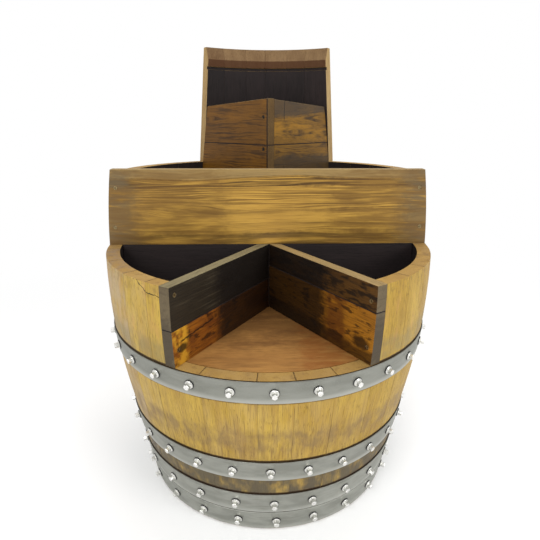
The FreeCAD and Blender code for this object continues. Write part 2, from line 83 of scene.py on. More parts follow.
def add(tree: bpy.types.NodeTree, kind: str, sockets: dict | None = None,
        **settings: object) -> bpy.types.Node:
    """Add a node, its settings, its socket values and its links.

    Args:
        tree: Node tree that takes the node.
        kind: Node type without its ShaderNode prefix.
        sockets: Value, hex colour or field for each input, by name or index.
        **settings: Properties of the node; stops gives a colour ramp's places and colours.

    Returns:
        The new node.
    """
    node = tree.nodes.new("ShaderNode" + kind)
    stops = settings.pop("stops", None)
    for name, value in settings.items():
        setattr(node, name, value)
    for key, value in (sockets or {}).items():
        if isinstance(value, Field):
            tree.links.new(value.socket, node.inputs[key])
        else:
            node.inputs[key].default_value = linear(value) if isinstance(value, str) else value
    for index, (place, colour) in enumerate(stops or ()):
        element = node.color_ramp.elements[index] if index < 2 else node.color_ramp.elements.new(place)
        element.position = place
        element.color = colour
    return node


class Field:
    """A value or a colour that varies over a surface: one output of a shader node.

    Fields and numbers are added, multiplied and compared as numbers are.
    """

    def __init__(self, node: bpy.types.Node, output: int | str = 0) -> None:
        """Take one of a node's outputs."""
        self.tree = node.id_data
        self.socket = node.outputs[output]

    def _result(self, operation: str, *values: "Field | float") -> "Field":
        """Return the result of one operation."""
        return Field(add(self.tree, "Math", dict(enumerate(values)), operation=operation))

    def __add__(self, other: "Field | float") -> "Field":
        """Return the sum."""
        return self._result("ADD", self, other)

    def __sub__(self, other: "Field | float") -> "Field":
        """Return the difference."""
        return self._result("SUBTRACT", self, other)

    def __mul__(self, other: "Field | float") -> "Field":
        """Return the product."""
        return self._result("MULTIPLY", self, other)

    def __truediv__(self, other: "Field | float") -> "Field":
        """Return the quotient."""
        return self._result("DIVIDE", self, other)

    def __abs__(self) -> "Field":
        """Return the size without its sign."""
        return self._result("ABSOLUTE", self)

    def fraction(self) -> "Field":
        """Return what is left after the last whole number."""
        return self._result("FRACT", self)

    def length(self) -> "Field":
        """Return the length of a vector."""
        return Field(add(self.tree, "VectorMath", {0: self}, operation="LENGTH"), "Value")

    def at_least(self, other: "Field | float") -> "Field":
        """Return the larger of the two."""
        return self._result("MAXIMUM", self, other)

    def step(self, low: float, high: float, top: float = 1.0) -> "Field":
        """Return a smooth step.

        Args:
            low: Where the result is 0.
            high: Where it reaches top; it may lie below low, and then the step falls.
            top: Highest result.

        Returns:
            The step's value.
        """
        start, end = (0.0, top) if low < high else (top, 0.0)
        sockets = {"Value": self, "From Min": min(low, high), "From Max": max(low, high), "To Min": start,
                   "To Max": end}
        return Field(add(self.tree, "MapRange", sockets, interpolation_type="SMOOTHSTEP"))


Colour = str | Field


def carried(tree: bpy.types.NodeTree, name: str, output: str = "Fac") -> Field:
    """Return what a piece's mesh carries under a name: its grain, or one of its own values."""
    return Field(add(tree, "Attribute", attribute_name=name, attribute_type="GEOMETRY"), output)


def own_millimetres(tree: bpy.types.NodeTree) -> Field:
    """Return a point's place in its object, in millimetres."""
    place = Field(add(tree, "TexCoord"), "Object")
    return Field(add(tree, "VectorMath", {0: place, 1: (1.0 / MM,) * 3}, operation="MULTIPLY"))


def layered(base: Colour, layers: Iterable[tuple[Field, Colour]]) -> Field:
    """Lay colours over a base, one after another.

    Args:
        base: Colour under all of them.
        layers: Each layer's cover, between 0 and 1, and its colour.

    Returns:
        The colour that shows.
    """
    for share, colour in layers:
        base = Field(add(share.tree, "Mix", {0: share, 6: base, 7: colour}, data_type="RGBA"), 2)
    return base


@dataclass(frozen=True)
class Patches:
    """Soft noise: the size of its patches along three axes in millimetres, its detail and its offset."""

    size: tuple[float, float, float]
    detail: float = 2.0
    shift: float = 0.0

    def over(self, place: Field, run: float = 1.0) -> Field:
        """Return the noise.

        Args:
            place: Place in millimetres that it is drawn in.
            run: How many times longer its patches are along the second axis.

        Returns:
            Values between 0 and 1.
        """
        scale = (1.0 / self.size[0], 1.0 / (self.size[1] * run), 1.0 / self.size[2])
        shift = (self.shift,) * 3
        moved = Field(add(place.tree, "Mapping", {"Vector": place, "Scale": scale, "Location": shift}))
        sockets = {"Vector": moved, "Scale": 1.0, "Detail": self.detail, "Roughness": 0.55}
        return Field(add(place.tree, "TexNoise", sockets))


@dataclass(frozen=True)
class Finish:
    """What every finish shares: a name, and the way its shader ends in a material."""

    name: str

    def dress(self, tree: bpy.types.NodeTree) -> bpy.types.Node:
        """Draw the finish in an empty node tree and return its last shader."""
        raise NotImplementedError

    @cached_property
    def material(self) -> bpy.types.Material:
        """Build the material, when it is first asked for."""
        material = bpy.data.materials.new(self.name)
        material.use_nodes = True
        tree = material.node_tree
        tree.nodes.clear()
        tree.links.new(self.dress(tree).outputs[0], add(tree, "OutputMaterial").inputs[0])
        return material


# ---------------------------------------------------------------- finishes
class Axis(Enum):
    """What a stain's band is laid out along."""

    ACROSS = "across the grain"
    ALONG = "along the grain"
    HEIGHT = "height above the floor"


@dataclass(frozen=True)
class Knot:
    """A knot, or the stain round an iron screw: its place in the board's grain and its radius."""

    across: float
    along: float
    radius: float


@dataclass(frozen=True)
class Crack:
    """A dark drying crack between two places in the board's grain, in millimetres."""

    start: tuple[float, float]
    end: tuple[float, float]
    width: float = 1.2


@dataclass(frozen=True)
class Stain:
    """A band of discoloured wood, or of painted shade, broken up into patches.

    middle, half_width and fade lay the band out along its axis, patch is the size of its patches across
    and along the grain, and cover holds the noise values between which they set in.
    """

    colour: str
    strength: float
    middle: float
    half_width: float
    fade: float
    patch: tuple[float, float] = (60.0, 25.0)
    cover: tuple[float, float] = (0.35, 0.6)
    axis: Axis = Axis.HEIGHT


def fibrous(across: float, along: float, detail: float = 2.0, shift: float = 0.0) -> Patches:
    """Return noise in wood: patches of one width across the grain and another length along it."""
    return Patches((across, along, across), detail, shift)


@dataclass(frozen=True)
class GrainPlace:
    """A point's place in the grain; bent is its place across it as the wandering fibres have it."""

    across: Field
    along: Field
    depth: Field
    bent: Field
    bent_place: Field

    @property
    def tree(self) -> bpy.types.NodeTree:
        """Return the node tree that the fields are in."""
        return self.across.tree


@dataclass(frozen=True)
class Timber(Finish):
    """Sawn timber, a solid whose rings, pores and fibres run through it from face to face.

    That gives the eye straight lines on a quarter sawn face, wide flames on a flat sawn one and
    arcs on an end, all of one piece. Lengths are millimetres. Pores are drawn about three times
    their real width, because at their real size the render can't show them.

    ring is the colour of early wood and dark fibres, and pore that of pores and of dirt in the seams.
    pith is where the tree's pith lies, across the grain and into the wood. The fibres sway by wander to
    each side, and run stretches the figure along the grain. The depths are how strongly rings, fibres
    and pores show, and weathering how strongly a weathered piece takes the colour weathered.
    """

    light: str
    deep: str
    ring: str
    pore: str
    ring_width: float = 3.2
    ring_depth: float = 0.35
    pith: tuple[float, float] = (140.0, 25.0)
    wander: float = 7.0
    run: float = 1.0
    streak_depth: float = 0.35
    pore_depth: float = 0.4
    pore_length: float = 26.0
    weathered: str = "#8f8674"
    weathering: float = 0.0
    seam: float = 0.0
    roughness: float = 0.55
    varnish: float = 0.0
    knots: tuple[Knot, ...] = ()
    cracks: tuple[Crack, ...] = ()
    stains: tuple[Stain, ...] = ()

    RELIEF: ClassVar[float] = 0.25
    PORE_WIDTH: ClassVar[float] = 1.1
    KNOT_COLOUR: ClassVar[str] = "#160c06"
    CRACK_COLOUR: ClassVar[str] = "#120a06"
    SWAY: ClassVar[Patches] = fibrous(45.0, 260.0)
    RING_COVER: ClassVar[Patches] = fibrous(18.0, 90.0, 2.0, 3.7)
    DARK_FIBRES: ClassVar[Patches] = fibrous(2.6, 70.0, 3.0, 9.1)
    PALE_FIBRES: ClassVar[Patches] = fibrous(3.4, 110.0, 2.0, 23.0)
    DRIFT: ClassVar[Patches] = fibrous(40.0, 130.0, 3.0, 14.0)
    WEATHER: ClassVar[Patches] = fibrous(22.0, 55.0, 3.0, 40.0)
    GLOSS: ClassVar[Patches] = fibrous(25.0, 60.0, 2.0, 31.0)
    KNOT_EDGE: ClassVar[Patches] = fibrous(6.0, 9.0, 2.0, 55.0)
    CRACK_WAVER: ClassVar[Patches] = fibrous(7.0, 9.0, 3.0, 91.0)
    SEAM_EDGE: ClassVar[Patches] = fibrous(3.0, 25.0, 2.0, 71.0)
    # Grey of a year's ring from its early wood, where the pores are, to its late wood.
    RING_GREYS: ClassVar[Outline] = ((0.0, 1.0), (0.16, 0.55), (0.42, 0.08), (0.86, 0.0), (1.0, 0.7))

    def dress(self, tree: bpy.types.NodeTree) -> bpy.types.Node:
        """Draw the timber, its surface and its wear.

        Args:
            tree: Empty node tree.

        Returns:
            The shader.
        """
        at = self._place(tree)
        knots = [self._from_knot(at, knot) for knot in self.knots]
        early = self._early_wood(at, knots)
        fibres = self.DARK_FIBRES.over(at.bent_place, self.run).step(0.45, 0.72, self.streak_depth)
        pale = self.PALE_FIBRES.over(at.bent_place, self.run).step(0.52, 0.75, self.streak_depth)
        pores = fibrous(self.PORE_WIDTH, self.pore_length, 2.0, 5.3).over(at.bent_place).step(0.54, 0.7)
        uneven = self.RING_COVER.over(at.bent_place, self.run).step(0.3, 0.7)
        drift = self.DRIFT.over(at.bent_place).step(0.3, 0.7)
        layers = [(carried(tree, "tone") * 0.6 + drift * 0.4, self.deep),
                  (early * (uneven * self.ring_depth), self.ring),
                  (fibres, self.ring), (pale, self.light), (pores * self.pore_depth, self.pore)]
        if self.weathering:
            worn = carried(tree, "weather") * self.WEATHER.over(at.bent_place).step(0.25, 0.7)
            layers.append((worn * self.weathering, self.weathered))
        layers += [(self._stained(at, stain, index), stain.colour) for index, stain in enumerate(self.stains)]
        layers += [(self._knotted(at, knot, away), self.KNOT_COLOUR) for knot, away in zip(self.knots, knots)]
        layers += [(self._cracked(at, crack), self.CRACK_COLOUR) for crack in self.cracks]
        if self.seam:
            layers.append((self._dirty_seam(at), self.pore))
        relief = pores * -0.7 + fibres - early * 0.3
        bump = Field(add(tree, "Bump", {"Height": relief, "Strength": 0.6, "Distance": self.RELIEF * MM}))
        rough = self.GLOSS.over(at.bent_place) * 0.16 + (self.roughness - 0.08) + pores * 0.2
        sockets = {"Base Color": layered(self.light, layers), "Roughness": rough, "Normal": bump, "IOR": 1.45,
                   "Specular IOR Level": 0.25, "Coat Weight": self.varnish, "Coat Roughness": 0.25}
        return add(tree, "BsdfPrincipled", sockets)

    def _place(self, tree: bpy.types.NodeTree) -> GrainPlace:
        """Find a point's place in the grain.

        Args:
            tree: Node tree of the material.

        Returns:
            The place, with and without the fibres' wander.
        """
        grain = carried(tree, "grain", "Vector")
        parts = add(tree, "SeparateXYZ", {0: grain})
        across, along, depth = (Field(parts, axis) for axis in range(3))
        bent = across + (self.SWAY.over(grain, self.run) - 0.5) * (self.wander * 2.0)
        bent_place = Field(add(tree, "CombineXYZ", {0: bent, 1: along, 2: depth}))
        return GrainPlace(across, along, depth, bent, bent_place)

    def _early_wood(self, at: GrainPlace, knots: Sequence[Field]) -> Field:
        """Return how much of a point is early wood.

        Args:
            at: Place in the grain.
            knots: Distance from each knot, round which the rings are pushed out.

        Returns:
            Values between 0 and 1.
        """
        spoke = {0: at.bent - self.pith[0], 2: at.depth - self.pith[1]}
        radius = Field(add(at.tree, "CombineXYZ", spoke)).length()
        for knot, away in zip(self.knots, knots):
            radius = radius + away.step(knot.radius * 4.0, 0.0, knot.radius * 1.8)
        stops = [(place, (grey, grey, grey, 1.0)) for place, grey in self.RING_GREYS]
        return Field(add(at.tree, "ValToRGB", {0: (radius / self.ring_width).fraction()}, stops=stops))

    def _from_knot(self, at: GrainPlace, knot: Knot) -> Field:
        """Return the distance from a knot, which is longer along the grain than across it."""
        offset = {0: at.across - knot.across, 1: (at.along - knot.along) * 0.6}
        return Field(add(at.tree, "CombineXYZ", offset)).length()

    def _knotted(self, at: GrainPlace, knot: Knot, away: Field) -> Field:
        """Return a knot's cover, from 0 to 1; away is the distance from it."""
        ragged = self.KNOT_EDGE.over(at.bent_place) * 0.7 + 0.65
        return (away * ragged).step(knot.radius * 1.15, knot.radius * 0.55, 0.88)

    def _stained(self, at: GrainPlace, stain: Stain, index: int) -> Field:
        """Return a stain's cover.

        Args:
            at: Place in the grain.
            stain: The stain.
            index: Its number, so that no two stains share their patches.

        Returns:
            Values between 0 and 1.
        """
        if stain.axis is Axis.HEIGHT:
            place = Field(add(at.tree, "SeparateXYZ", {0: own_millimetres(at.tree)}), 2)
        else:
            place = at.bent if stain.axis is Axis.ACROSS else at.along
        ragged = fibrous(9.0, 14.0, 2.0, 60.0 + index).over(at.bent_place) * stain.fade
        away = abs(place + ragged - (stain.middle + stain.fade / 2.0))
        patches = fibrous(*stain.patch, 3.0, 80.0 + index).over(at.bent_place).step(*stain.cover)
        return away.step(stain.half_width + stain.fade, stain.half_width, stain.strength) * patches

    def _cracked(self, at: GrainPlace, crack: Crack) -> Field:
        """Return a crack's cover: the places near a straight line that noise makes waver.

        Args:
            at: Place in the grain.
            crack: The crack.

        Returns:
            Values between 0 and 1.
        """
        across, along = at.across - crack.start[0], at.along - crack.start[1]
        run = (crack.end[0] - crack.start[0], crack.end[1] - crack.start[1])
        length = math.hypot(*run)
        waver = (self.CRACK_WAVER.over(at.bent_place) - 0.5) * 7.0
        away = abs(across * (run[1] / length) - along * (run[0] / length) + waver)
        travelled = abs(across * (run[0] / length) + along * (run[1] / length) - length / 2.0)
        inside = travelled.step(length / 2.0 + 3.0, length / 2.0 - 6.0)
        return away.step(crack.width, crack.width * 0.35, 0.9) * inside

    def _dirty_seam(self, at: GrainPlace) -> Field:
        """Return the cover of the dirt along the joints at the two sides of a piece."""
        ragged = self.SEAM_EDGE.over(at.bent_place) * 2.4
        return (carried(at.tree, "half") - abs(at.across) + ragged).step(3.0, 1.2, self.seam)


@dataclass(frozen=True)
class StripSteel(Finish):
    """Hot dip galvanised strip steel, rolled, bent and hammered on.

    Its dull zinc skin shows as soft grey clouds, fine streaks along the strip from the rolls,
    faint scuffs where the driver slid, painted shade mixed with dirt on its upper edge, and a
    painted sheen that makes its lower edge paler.
    """

    name: str = "galvanised_strip_steel"
    body: str = "#8b8c84"
    pale: str = "#a2a39b"
    dull: str = "#6d6e66"
    scuff: str = "#7b7a70"
    lower_edge_sheen: str = "#bdbdb6"
    edge_shade_and_grime: str = "#4c453a"

    CLOUDS: ClassVar[Patches] = Patches((60.0, 22.0, 22.0), 3.0)
    SPECKLE: ClassVar[Patches] = Patches((2.2, 2.2, 2.2), 2.0, 4.0)
    SCUFFS: ClassVar[Patches] = Patches((60.0, 4.0, 4.0), 3.0, 17.0)
    SHADE_AND_GRIME_EDGE: ClassVar[Patches] = Patches((14.0, 4.0, 4.0), 2.0, 29.0)
    HAMMERING: ClassVar[Patches] = Patches((9.0, 3.0, 3.0), 3.0, 8.0)

    def dress(self, tree: bpy.types.NodeTree) -> bpy.types.Node:
        """Draw the steel.

        Args:
            tree: Empty node tree.

        Returns:
            The shader.
        """
        place = carried(tree, "grain", "Vector")
        clouds = self.CLOUDS.over(place)
        half = carried(tree, "half")
        up_strip = Field(add(tree, "SeparateXYZ", {0: place}), 1)
        from_top = half - up_strip + self.SHADE_AND_GRIME_EDGE.over(place) * 3.0
        colour = layered(self.body, (
            (clouds.step(0.3, 0.7), self.pale),
            (carried(tree, "tone"), self.dull),
            (self.SPECKLE.over(place).step(0.55, 0.75, 0.3), self.pale),
            (self.SCUFFS.over(place).step(0.55, 0.75, 0.4), self.scuff),
            # Painted sheen: the strip is drawn paler towards its lower edge.
            ((half + up_strip).step(14.0, 1.0, 0.6), self.lower_edge_sheen),
            # Painted shade mixed with dirt along the strip's upper edge.
            (from_top.step(3.4, 1.4, 0.6) * carried(tree, "weather"), self.edge_shade_and_grime)))
        hammered = {"Height": self.HAMMERING.over(place), "Strength": 0.35, "Distance": 0.2 * MM}
        return add(tree, "BsdfPrincipled", {"Base Color": colour, "Metallic": 0.82,
                                            "Roughness": clouds * 0.22 + 0.4,
                                            "Normal": Field(add(tree, "Bump", hammered))})


@dataclass(frozen=True)
class ZincPlate(Finish):
    """Bright zinc plate on turned and stamped steel: near white, with a thin cloudy passivation."""

    name: str = "bright_zinc_plated_steel"
    body: str = "#f0efec"
    cloud: str = "#d3d3cd"
    roughness: float = 0.3

    CLOUDS: ClassVar[Patches] = Patches((2.4, 2.4, 2.4), 3.0)
    GRIT: ClassVar[Patches] = Patches((0.5, 0.5, 0.5))

    def dress(self, tree: bpy.types.NodeTree) -> bpy.types.Node:
        """Draw the plating.

        Args:
            tree: Empty node tree.

        Returns:
            The shader.
        """
        place = own_millimetres(tree)
        clouds = self.CLOUDS.over(place)
        colour = layered(self.body, [(clouds.step(0.4, 0.7), self.cloud)])
        grit = {"Height": self.GRIT.over(place), "Strength": 0.3, "Distance": 0.05 * MM}
        return add(tree, "BsdfPrincipled", {"Base Color": colour, "Metallic": 1.0,
                                            "Roughness": clouds * 0.2 + (self.roughness - 0.08),
                                            "Normal": Field(add(tree, "Bump", grit))})


@dataclass(frozen=True)
class SealRubber(Finish):
    """EPDM rubber bonded under the steel of each washer: a matt black ring, a little dusty."""

    name: str = "black_epdm_rubber"
    body: str = "#161617"
    powder: str = "#35342f"

    DUST: ClassVar[Patches] = Patches((3.0, 3.0, 3.0), 4.0)
    MOULD_GRAIN: ClassVar[Patches] = Patches((0.4, 0.4, 0.4))

    def dress(self, tree: bpy.types.NodeTree) -> bpy.types.Node:
        """Draw the rubber.

        Args:
            tree: Empty node tree.

        Returns:
            The shader.
        """
        place = own_millimetres(tree)
        dust = self.DUST.over(place)
        colour = layered(self.body, [(dust.step(0.45, 0.75), self.powder)])
        moulded = {"Height": self.MOULD_GRAIN.over(place), "Strength": 0.4, "Distance": 0.08 * MM}
        return add(tree, "BsdfPrincipled", {"Base Color": colour, "Roughness": dust * 0.25 + 0.6, "IOR": 1.52,
                                            "Normal": Field(add(tree, "Bump", moulded))})


@dataclass(frozen=True)
class PaintedShadeBlack(Finish):
    """Matt black brushed paint on a board, used as painted shade on the floors: the wood's grain stands out
    in it only as relief.
    """

    body: str = "#0c0b0b"
    worn: str = "#2b2420"
    roughness: float = 0.55

    BRUSH_MARKS: ClassVar[Patches] = Patches((140.0, 3.0, 140.0), 3.0)
    WEAR: ClassVar[Patches] = Patches((30.0, 18.0, 30.0), 4.0, 12.0)

    def dress(self, tree: bpy.types.NodeTree) -> bpy.types.Node:
        """Draw the paint.

        Args:
            tree: Empty node tree.

        Returns:
            The shader.
        """
        place = own_millimetres(tree)
        brushed = self.BRUSH_MARKS.over(place)
        colour = layered(self.body, [(self.WEAR.over(place).step(0.55, 0.75, 0.6), self.worn)])
        ridges = {"Height": brushed, "Strength": 0.5, "Distance": 0.25 * MM}
        return add(tree, "BsdfPrincipled", {"Base Color": colour, "IOR": 1.45,
                                            "Roughness": brushed * 0.25 + (self.roughness - 0.1),
                                            "Normal": Field(add(tree, "Bump", ridges))})


@dataclass(frozen=True)
class StudioFloor(Finish):
    """Matt white floor that fades to plain white away from the object but keeps its shadow."""

    name: str = "white_studio_floor"
    near: float = 0.7
    far: float = 1.9
    lift: float = 0.1

    def dress(self, tree: bpy.types.NodeTree) -> bpy.types.Node:
        """Draw the floor.

        Args:
            tree: Empty node tree.

        Returns:
            The shader.
        """
        place = Field(add(tree, "TexCoord"), "Object")
        away = place.length().step(self.near, self.far)
        seen = Field(add(tree, "LightPath"), "Is Camera Ray")
        paint = Field(add(tree, "BsdfDiffuse", {"Color": (0.9, 0.9, 0.9, 1.0)}))
        glow = Field(add(tree, "Emission", {"Color": WHITE, "Strength": seen * self.lift}))
        lifted = Field(add(tree, "AddShader", {0: paint, 1: glow}))
        white = Field(add(tree, "Emission", {"Color": WHITE, "Strength": 1.0}))
        return add(tree, "MixShader", {0: away * seen, 1: lifted, 2: white})


# ---------------------------------------------------------------- mesh building
class Side(Enum):
    """Which of a piece's materials a face takes."""

    FACE = "face"
    CUT = "sawn and sanded edge"
    INSIDE = "inside"
    CHIME = "chime or end grain"
    EDGE = "joint"


Mesh = bmesh.types.BMesh
Finishes = dict[Side, bpy.types.Material]
# Tells which side a face belongs to, from its middle and its normal.
SideOf = Callable[[Vector, Vector], Side]
# A face looks in a direction when its normal has more than this share of it.
LOOKING = 0.8


@dataclass(frozen=True)
class Barrel:
    """The cask's form: staves bent to an arc round the bilge, with straight ends, in millimetres.

    end_slope is the slope of a straight end, as a multiple of that of a line from bilge to end.
    """

    height: float = 950.0
    bilge_radius: float = 346.5
    head_radius: float = 282.5
    end_slope: float = 1.31
    stave_thickness: float = 27.0
    stave_end_thickness: float = 13.0
    chime_height: float = 28.0
    croze_from_end: float = 43.0
    croze_width: float = 7.0
    croze_depth: float = 5.0

    def bend_angle(self) -> float:
        """Return the angle between a stave's straight end and the axis, in radians."""
        return math.atan(self.end_slope * (self.bilge_radius - self.head_radius) / (self.height / 2.0))

    def bend_radius(self) -> float:
        """Return the radius of the arc that runs out into the straight ends."""
        swell = self.bilge_radius - self.head_radius
        return (self.end_slope - 1.0) * swell / (1.0 / math.cos(self.bend_angle()) - 1.0)

    def radius(self, z: float, inset: float = 0.0) -> float:
        """Return the radius of the staves' outside, or of a surface inside it.

        Args:
            z: Height.
            inset: How far the surface lies inside the staves' outside.

        Returns:
            Distance from the axis.
        """
        rise, angle = abs(z - self.height / 2.0), self.bend_angle()
        bend = self.bend_radius() - inset
        if rise < bend * math.sin(angle):
            reach = math.sqrt(bend ** 2 - rise ** 2)
        else:
            reach = (bend - rise * math.sin(angle)) / math.cos(angle)
        return self.bilge_radius - self.bend_radius() + reach

    def inner_radius(self, z: float) -> float:
        """Return the radius of the staves' inside, chime bevel and croze included.

        Args:
            z: Height.

        Returns:
            Distance from the axis.
        """
        from_end = min(z, self.height - z)
        if from_end < self.chime_height:
            tip = self.head_radius - self.stave_end_thickness
            bevel_end = self.radius(self.chime_height, self.stave_thickness)
            return tip + (bevel_end - tip) * from_end / self.chime_height
        groove = self.croze_from_end < from_end < self.croze_from_end + self.croze_width
        return self.radius(z, self.stave_thickness) + (self.croze_depth if groove else 0.0)


BARREL = Barrel()
# How far one stave's or deck board's grain starts from the next one's, so that no two look alike.
BETWEEN_STAVES = 1370.0
BETWEEN_DECK_BOARDS = 1900.0


def polar(radius: float, azimuth: float, z: float = 0.0) -> Vector:
    """Return the point at a radius, an azimuth in degrees and a height."""
    turn = math.radians(azimuth)
    return Vector((radius * math.sin(turn), -radius * math.cos(turn), z))


def azimuth_of(point: Vector) -> float:
    """Return the azimuth of a point in degrees."""
    return math.degrees(math.atan2(point.x, -point.y))


def turned_back(azimuth: float) -> float:
    """Return the same azimuth between -180 and 180 degrees."""
    return (azimuth + 180.0) % 360.0 - 180.0


def circle(radius: float, sides: int, z: float) -> list[Vector]:
    """Return the corners of a regular polygon about the axis, at a height."""
    angles = [2.0 * math.pi * step / sides for step in range(sides)]
    return [Vector((radius * math.cos(a), radius * math.sin(a), z)) for a in angles]


def eased_outline(corners: Outline, ease: float, shrink: float = 0.0) -> list[Vector]:
    """Draw a convex outline with its corners rounded.

    Args:
        corners: Corners in order, either way round.
        ease: Radius of the rounding.
        shrink: How far the outline is drawn inwards first.

    Returns:
        Three points for each corner, at z = 0, counter-clockwise seen from above.
    """
    points = [Vector((x, y, 0.0)) for x, y in corners]
    if sum(a.x * b.y - b.x * a.y for a, b in zip(points, points[1:] + points[:1])) < 0.0:
        points.reverse()
    drawn = []
    for index, corner in enumerate(points):
        before = (corner - points[index - 1]).normalized()
        after = (points[(index + 1) % len(points)] - corner).normalized()
        inward = Vector((-before.y, before.x, 0.0)) + Vector((-after.y, after.x, 0.0))
        moved = corner + inward * (shrink / (1.0 + before.dot(after)))
        middle = moved + (after - before) * (ease * ROUNDING)
        drawn += [moved - before * ease, middle, moved + after * ease]
    return drawn


def loft(bm: Mesh, rings: Sequence[Sequence[Vector]]) -> None:
    """Skin a stack of rings that have equal counts, and cap its two ends.

    Args:
        bm: Mesh that takes the skin.
        rings: Rings of points, counter-clockwise seen from the far end.
    """
    layers = [[bm.verts.new(point) for point in ring] for ring in rings]
    for low, high in zip(layers, layers[1:]):
        for index in range(len(low)):
            after = (index + 1) % len(low)
            bm.faces.new((low[index], low[after], high[after], high[index]))
    bm.faces.new(list(reversed(layers[0])))
    bm.faces.new(layers[-1])


def upright(z_low: float, z_high: float, ease: float, pitch: float,
            extra: Iterable[float] = ()) -> list[tuple[float, float]]:
    """List the heights of a loft's rings, each with how far its ring is drawn in for an eased end.

    Args:
        z_low: Lower end.
        z_high: Upper end.
        ease: Radius of the rounding at both ends.
        pitch: Widest spacing of the rings between.
        extra: Heights that get a ring of their own.

    Returns:
        Pairs of a height and a shrink.
    """
    apart = 0.3
    length = z_high - z_low - 2.0 * ease
    count = max(1, math.ceil(length / pitch))
    spread = [z_low + ease + length * step / count for step in range(count + 1)]
    chosen = [z for z in extra if z_low + ease < z < z_high - ease]
    plain = sorted([z for z in spread if all(abs(z - other) > apart for other in chosen)] + chosen)
    rise = ease * ROUNDING
    level = [(z, 0.0) for z in plain]
    return [(z_low, ease), (z_low + rise, rise), *level, (z_high - rise, rise), (z_high, ease)]


def prism(outline: Outline, z_low: float, z_high: float) -> Mesh:
    """Make an upright prism, for cutting.

    Args:
        outline: Its plan.
        z_low: Height of its foot.
        z_high: Height of its top.

    Returns:
        The prism.
    """
    bm = bmesh.new()
    loft(bm, [[Vector((x, y, z)) for x, y in outline] for z in (z_low, z_high)])
    return bm


def join(bm: Mesh, other: Mesh) -> None:
    """Add one mesh to another and free it.

    Args:
        bm: Mesh that grows.
        other: Mesh that is used up.
    """
    holder = bpy.data.meshes.new("holder")
    other.to_mesh(holder)
    other.free()
    bm.from_mesh(holder)
    bpy.data.meshes.remove(holder)


def to_scene(name: str, data: bpy.types.ID) -> bpy.types.Object:
    """Put a new object into the scene.

    Args:
        name: Name of the object.
        data: Mesh, lamp or camera that it holds.

    Returns:
        The object.
    """
    item = bpy.data.objects.new(name, data)
    bpy.context.scene.collection.objects.link(item)
    return item


def heights(node: str) -> tuple[float, float]:
    """Return the lowest and highest z of a construction node, in millimetres."""
    low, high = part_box(node)
    return low.z / MM, high.z / MM


def all_face(middle: Vector, normal: Vector) -> Side:
    """Take every face of a piece for its face."""
    return Side.FACE


def top_is_cut(middle: Vector, normal: Vector) -> Side:
    """Take a board's upper edge for its sawn edge, and the rest for its face."""
    return Side.CUT if normal.z > LOOKING else Side.FACE


def as_it_lies(point: Vector) -> Vector:
    """Take a point's own place for its place in the grain."""
    return point


